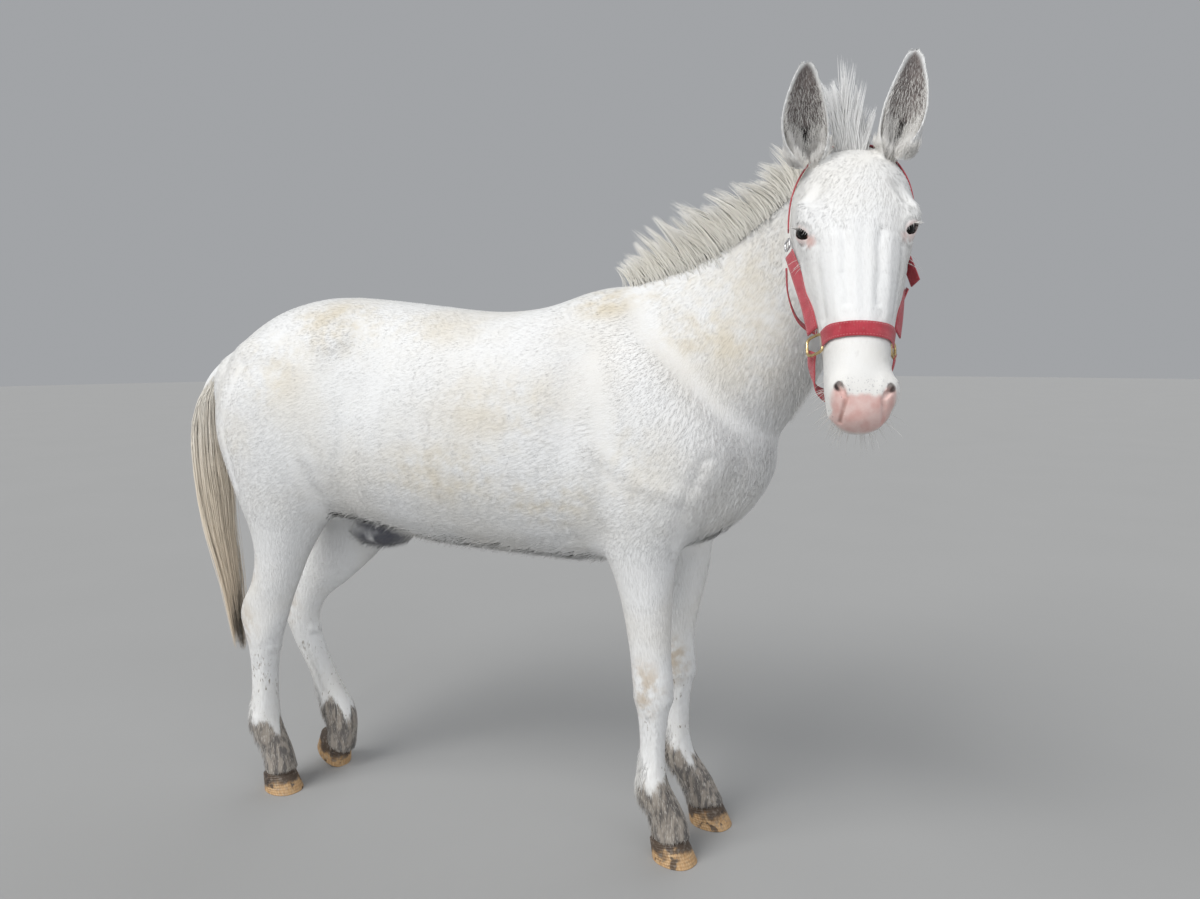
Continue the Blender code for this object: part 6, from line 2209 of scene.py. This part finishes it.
def strap(tree, name, steps=9):
    """Webbing along its route, on the skin or free of it.

    A row of the route can also hold the way that the webbing looks there.
    """
    width = STRAP_WIDTH.get(name, WEB)
    free = name in FREE_STRAPS
    rows = curve_through(STRAPS[name], steps)
    spots = [head_point(*row[:3]) for row in rows]
    last = len(spots) - 1
    sides, normals = [], []
    for i, spot in enumerate(spots):
        ahead = (spots[min(i + 1, last)] - spots[max(i - 1, 0)]).normalized()
        _, normal, _, _ = tree.find_nearest(spot)
        if len(rows[i]) > 3:
            normal = (HEAD_TURN @ Vector(rows[i][3:])).normalized()
        normals.append(normal)
        sides.append(normal.cross(ahead).normalized())

    def outs_at(i, offset):
        there = spots[i] + offset
        here, out, _, _ = tree.find_nearest(there)
        if free and (there - here).dot(out) > 0:
            return there, normals[i]
        return here, (out + normals[i] * 2).normalized()

    return web_mesh(spots, sides, outs_at, width)


def loose_end():
    """The strap's end, which stands off the left cheek."""
    spots = [Vector(p) for p in curve_through([tuple(head_point(*p)) for p in LOOSE_END], 6)]
    side = (HEAD_TURN @ Vector((0, 0.003, WEB_THIN / 2))).normalized()
    out = (HEAD_TURN @ Vector((0, 1, 0))).normalized()
    sunk = out * WEB_THICK

    def outs_at(i, offset):
        return spots[i] + offset - sunk, out

    return web_mesh(spots, [side] * len(spots), outs_at, WEB)


def ring(tree, fitting):
    """A square metal ring of round wire that stands off the skin."""
    spot, size, wire, lift, face = fitting
    centre, out, _, _ = tree.find_nearest(head_point(*spot))
    centre = centre + out * (0.0016 + wire + lift)
    normal = (HEAD_TURN @ Vector(face)).normalized()
    along = HEAD_TURN @ Vector((1, 0, 0))
    along = (along - normal * along.dot(normal)).normalized()
    across = normal.cross(along)
    points = []
    corners, around = 44, 14
    for k in range(corners):
        angle = math.tau * (k + 0.5) / corners
        x = signed_power(math.cos(angle), 0.55)
        y = signed_power(math.sin(angle), 0.55)
        out = (along * x + across * y).normalized()
        middle = centre + (along * x + across * y) * size
        for j in range(around):
            turned = math.tau * j / around
            points.append(middle + out * wire * math.cos(turned) + normal * wire * math.sin(turned))
    faces = []
    for k in range(corners):
        for j in range(around):
            low, high = k * around, (k + 1) % corners * around
            faces.append((low + j, low + (j + 1) % around, high + (j + 1) % around, high + j))
    return outward(mesh_from(points, faces))


def strap_lines():
    """Each strap's line and the half width that it covers, where no tuft grows."""
    lines = []
    for name, route in STRAPS.items():
        line = curve_through([tuple(head_point(*p[:3])) for p in route], 4)
        shown = 0.55 if name in FREE_STRAPS else 1.0
        lines.append((line, STRAP_WIDTH.get(name, WEB) / 2 * shown - 0.0015))
    return lines


# The picture


CAMERA_PLACE = Vector((0.865, -1.834, 1.10))
CAMERA_YAW = -17.25
CAMERA_PITCH = -6.75
CAMERA_ROLL = -0.37
CAMERA_LENS = 26.4


def add_camera():
    yaw, pitch, roll = (math.radians(a) for a in (CAMERA_YAW, CAMERA_PITCH, CAMERA_ROLL))
    ahead = Vector((math.sin(yaw) * math.cos(pitch), math.cos(yaw) * math.cos(pitch), math.sin(pitch)))
    right = Vector((math.cos(yaw), -math.sin(yaw), 0))
    up = right.cross(ahead)
    tilted = math.cos(roll) * right + math.sin(roll) * up
    upright = -math.sin(roll) * right + math.cos(roll) * up
    camera = bpy.data.objects.new("camera", bpy.data.cameras.new("camera"))
    bpy.context.scene.collection.objects.link(camera)
    camera.data.sensor_width = 36
    camera.data.lens = CAMERA_LENS
    axes = Matrix((tilted, upright, -ahead)).transposed().to_4x4()
    camera.matrix_world = Matrix.Translation(CAMERA_PLACE - ORIGIN) @ axes
    bpy.context.scene.camera = camera


def add_sun(name, place_at, width, power, colour):
    """Soft light from far away, as wide as the angle in degrees, so that it is even everywhere."""
    light = bpy.data.lights.new(name, "SUN")
    light.angle = math.radians(width)
    light.energy = power
    light.color = colour
    thing = bpy.data.objects.new(name, light)
    bpy.context.scene.collection.objects.link(thing)
    thing.rotation_euler = (-Vector(place_at)).to_track_quat("-Z", "Y").to_euler()


def add_studio():
    world = bpy.data.worlds.new("studio")
    world.use_nodes = True
    bpy.context.scene.world = world
    background = world.node_tree.nodes["Background"]
    background.inputs["Color"].default_value = (0.36, 0.37, 0.385, 1.0)
    background.inputs["Strength"].default_value = 1.0
    bpy.context.scene.view_settings.view_transform = "Standard"
    add_sun("key", (-1.1, -1.7, 1.9), 40, 2.1, (1.0, 0.99, 0.97))
    add_sun("front", (1.3, -1.6, 0.9), 60, 0.65, (0.95, 0.97, 1.0))
    add_sun("back", (0.3, 1.8, 1.6), 60, 0.5, (0.96, 0.98, 1.0))
    work = bmesh.new()
    bmesh.ops.create_circle(work, cap_ends=True, segments=96, radius=30)
    mesh = bpy.data.meshes.new("floor")
    work.to_mesh(mesh)
    work.free()
    floor = link("floor", mesh)
    mesh.materials.append(floor_finish())


COAT_DEPTH = 0.0020
HEAD_COAT_DEPTH = 0.0008


def inset(mesh):
    """Bring the skin in by the depth of the coat, least on the head."""
    points = coordinates(mesh)
    weights, _ = closeness(points)
    on_head = weights[:, 2:5].sum(axis=1)
    depth = COAT_DEPTH + (HEAD_COAT_DEPTH - COAT_DEPTH) * on_head
    move_to(mesh, points - normals_of(mesh) * depth[:, None])


def main():
    add_camera()
    add_studio()
    body = rounded(flesh())
    source = bmesh.new()
    source.from_mesh(body)
    tree = BVHTree.FromBMesh(source)
    source.free()
    skin_mesh = carved(one_skin(body))
    inset(skin_mesh)
    skin = Skin(skin_mesh)
    marks = markings(skin.points, skin.normals)
    weights, _ = closeness(skin.points)
    upright = {"upright": 1 - weights[:, 0]}
    set_marks(skin_mesh, {**marks, **upright})
    print("skin", len(skin.triangles), "triangles")

    fur = fur_finish()
    place_coats(skin, strap_lines(), fur)
    for name in FRINGES:
        strands = fringe_strands(skin, name)
        aside = np.maximum(strands[3], (-1.0, -1.0, LOWEST_NORMAL))
        place_strands("coat_" + name, strands, fur, "white_coat", soft=unit(aside))
    pale = long_hair_finish("pale_hair", *PALE_HAIR)
    strands = ear_hair_strands(skin, marks)
    place_strands("coat_ear_hair", strands, pale, "white_coat", soft=unit(strands[3] + (0, 0, 0.5)))
    place_strands("lashes", lash_strands(), pale, "white_coat")
    place_strands("whiskers", whisker_strands(tree), pale, "white_coat")
    flesh_nodes = ["torso", "neck", "head", "ear_right", "ear_left"]
    flesh_nodes += [leg + part for leg in FEET for part in ("_upper", "_lower")]
    place("skin", skin_mesh, skin_finish(), "white_coat", *flesh_nodes)

    mane = long_hair_finish("mane_hair", *MANE_HAIR)
    strands = mane_strands()
    crest = [tuple(spot) for spot in crest_line()]
    _, _, under = along_path(strands[0][:, 0], crest)
    aside = unit((strands[0][:, 0] - under) * (1, 1, 0) + (0, 0, 0.010))
    place_strands("mane_hair", strands, mane, "cream_hair", "mane", soft=aside)
    lock = long_hair_finish("forelock_hair", *FORELOCK_HAIR, FORELOCK_ROOT_SHADE)
    strands = forelock_strands()
    aside = unit(strands[3] + (0, 0, 0.6))
    place_strands("forelock_hair", strands, lock, "cream_hair", "forelock", soft=aside)
    long = long_hair_finish("tail_hair", *TAIL_HAIR)
    strands = tail_strands()
    _, _, under = along_path(strands[0][:, 5], TAIL_LINE)
    aside = unit((strands[0][:, 5] - under) * (1, 1, 0) + (0, 0, 0.012))
    place_strands("tail_hair", strands, long, "cream_hair", "tail", soft=aside)
    dock_mesh = dock()
    dock_points = coordinates(dock_mesh)
    set_marks(dock_mesh, markings(dock_points, normals_of(dock_mesh)))
    place("dock", dock_mesh, fur, "white_coat")

    wet, pink = eye_finish(), pink_finish()
    for side, name in ((-1, "eye_right"), (1, "eye_left")):
        place(name + "_globe", eye(side), wet, "eye", name)
        place(name + "_corner", eye_corner(side), pink, "eye")
    horn = horn_finish()
    for name, foot in FEET.items():
        place(name + "_horn", hoof(foot), horn, "hoof_horn", name + "_hoof")

    web = webbing_finish()
    for name in STRAPS:
        place("web_" + name, strap(tree, name), web, "red_webbing", "halter_" + name)
    place("web_loose_end", loose_end(), web, "red_webbing", "halter_loose_end")
    brass = metal_finish("brass_ring", (0.80, 0.62, 0.32), (0.50, 0.36, 0.18))
    steel = metal_finish("steel_buckle", (0.72, 0.72, 0.74), (0.45, 0.45, 0.46))
    place("square_ring_right", ring(tree, RING_RIGHT), brass, "brass", "halter_ring_right")
    place("square_ring_left", ring(tree, RING_LEFT), brass, "brass", "halter_ring_left")
    place("buckle", ring(tree, BUCKLE), steel, "steel", "halter_buckle")


main()
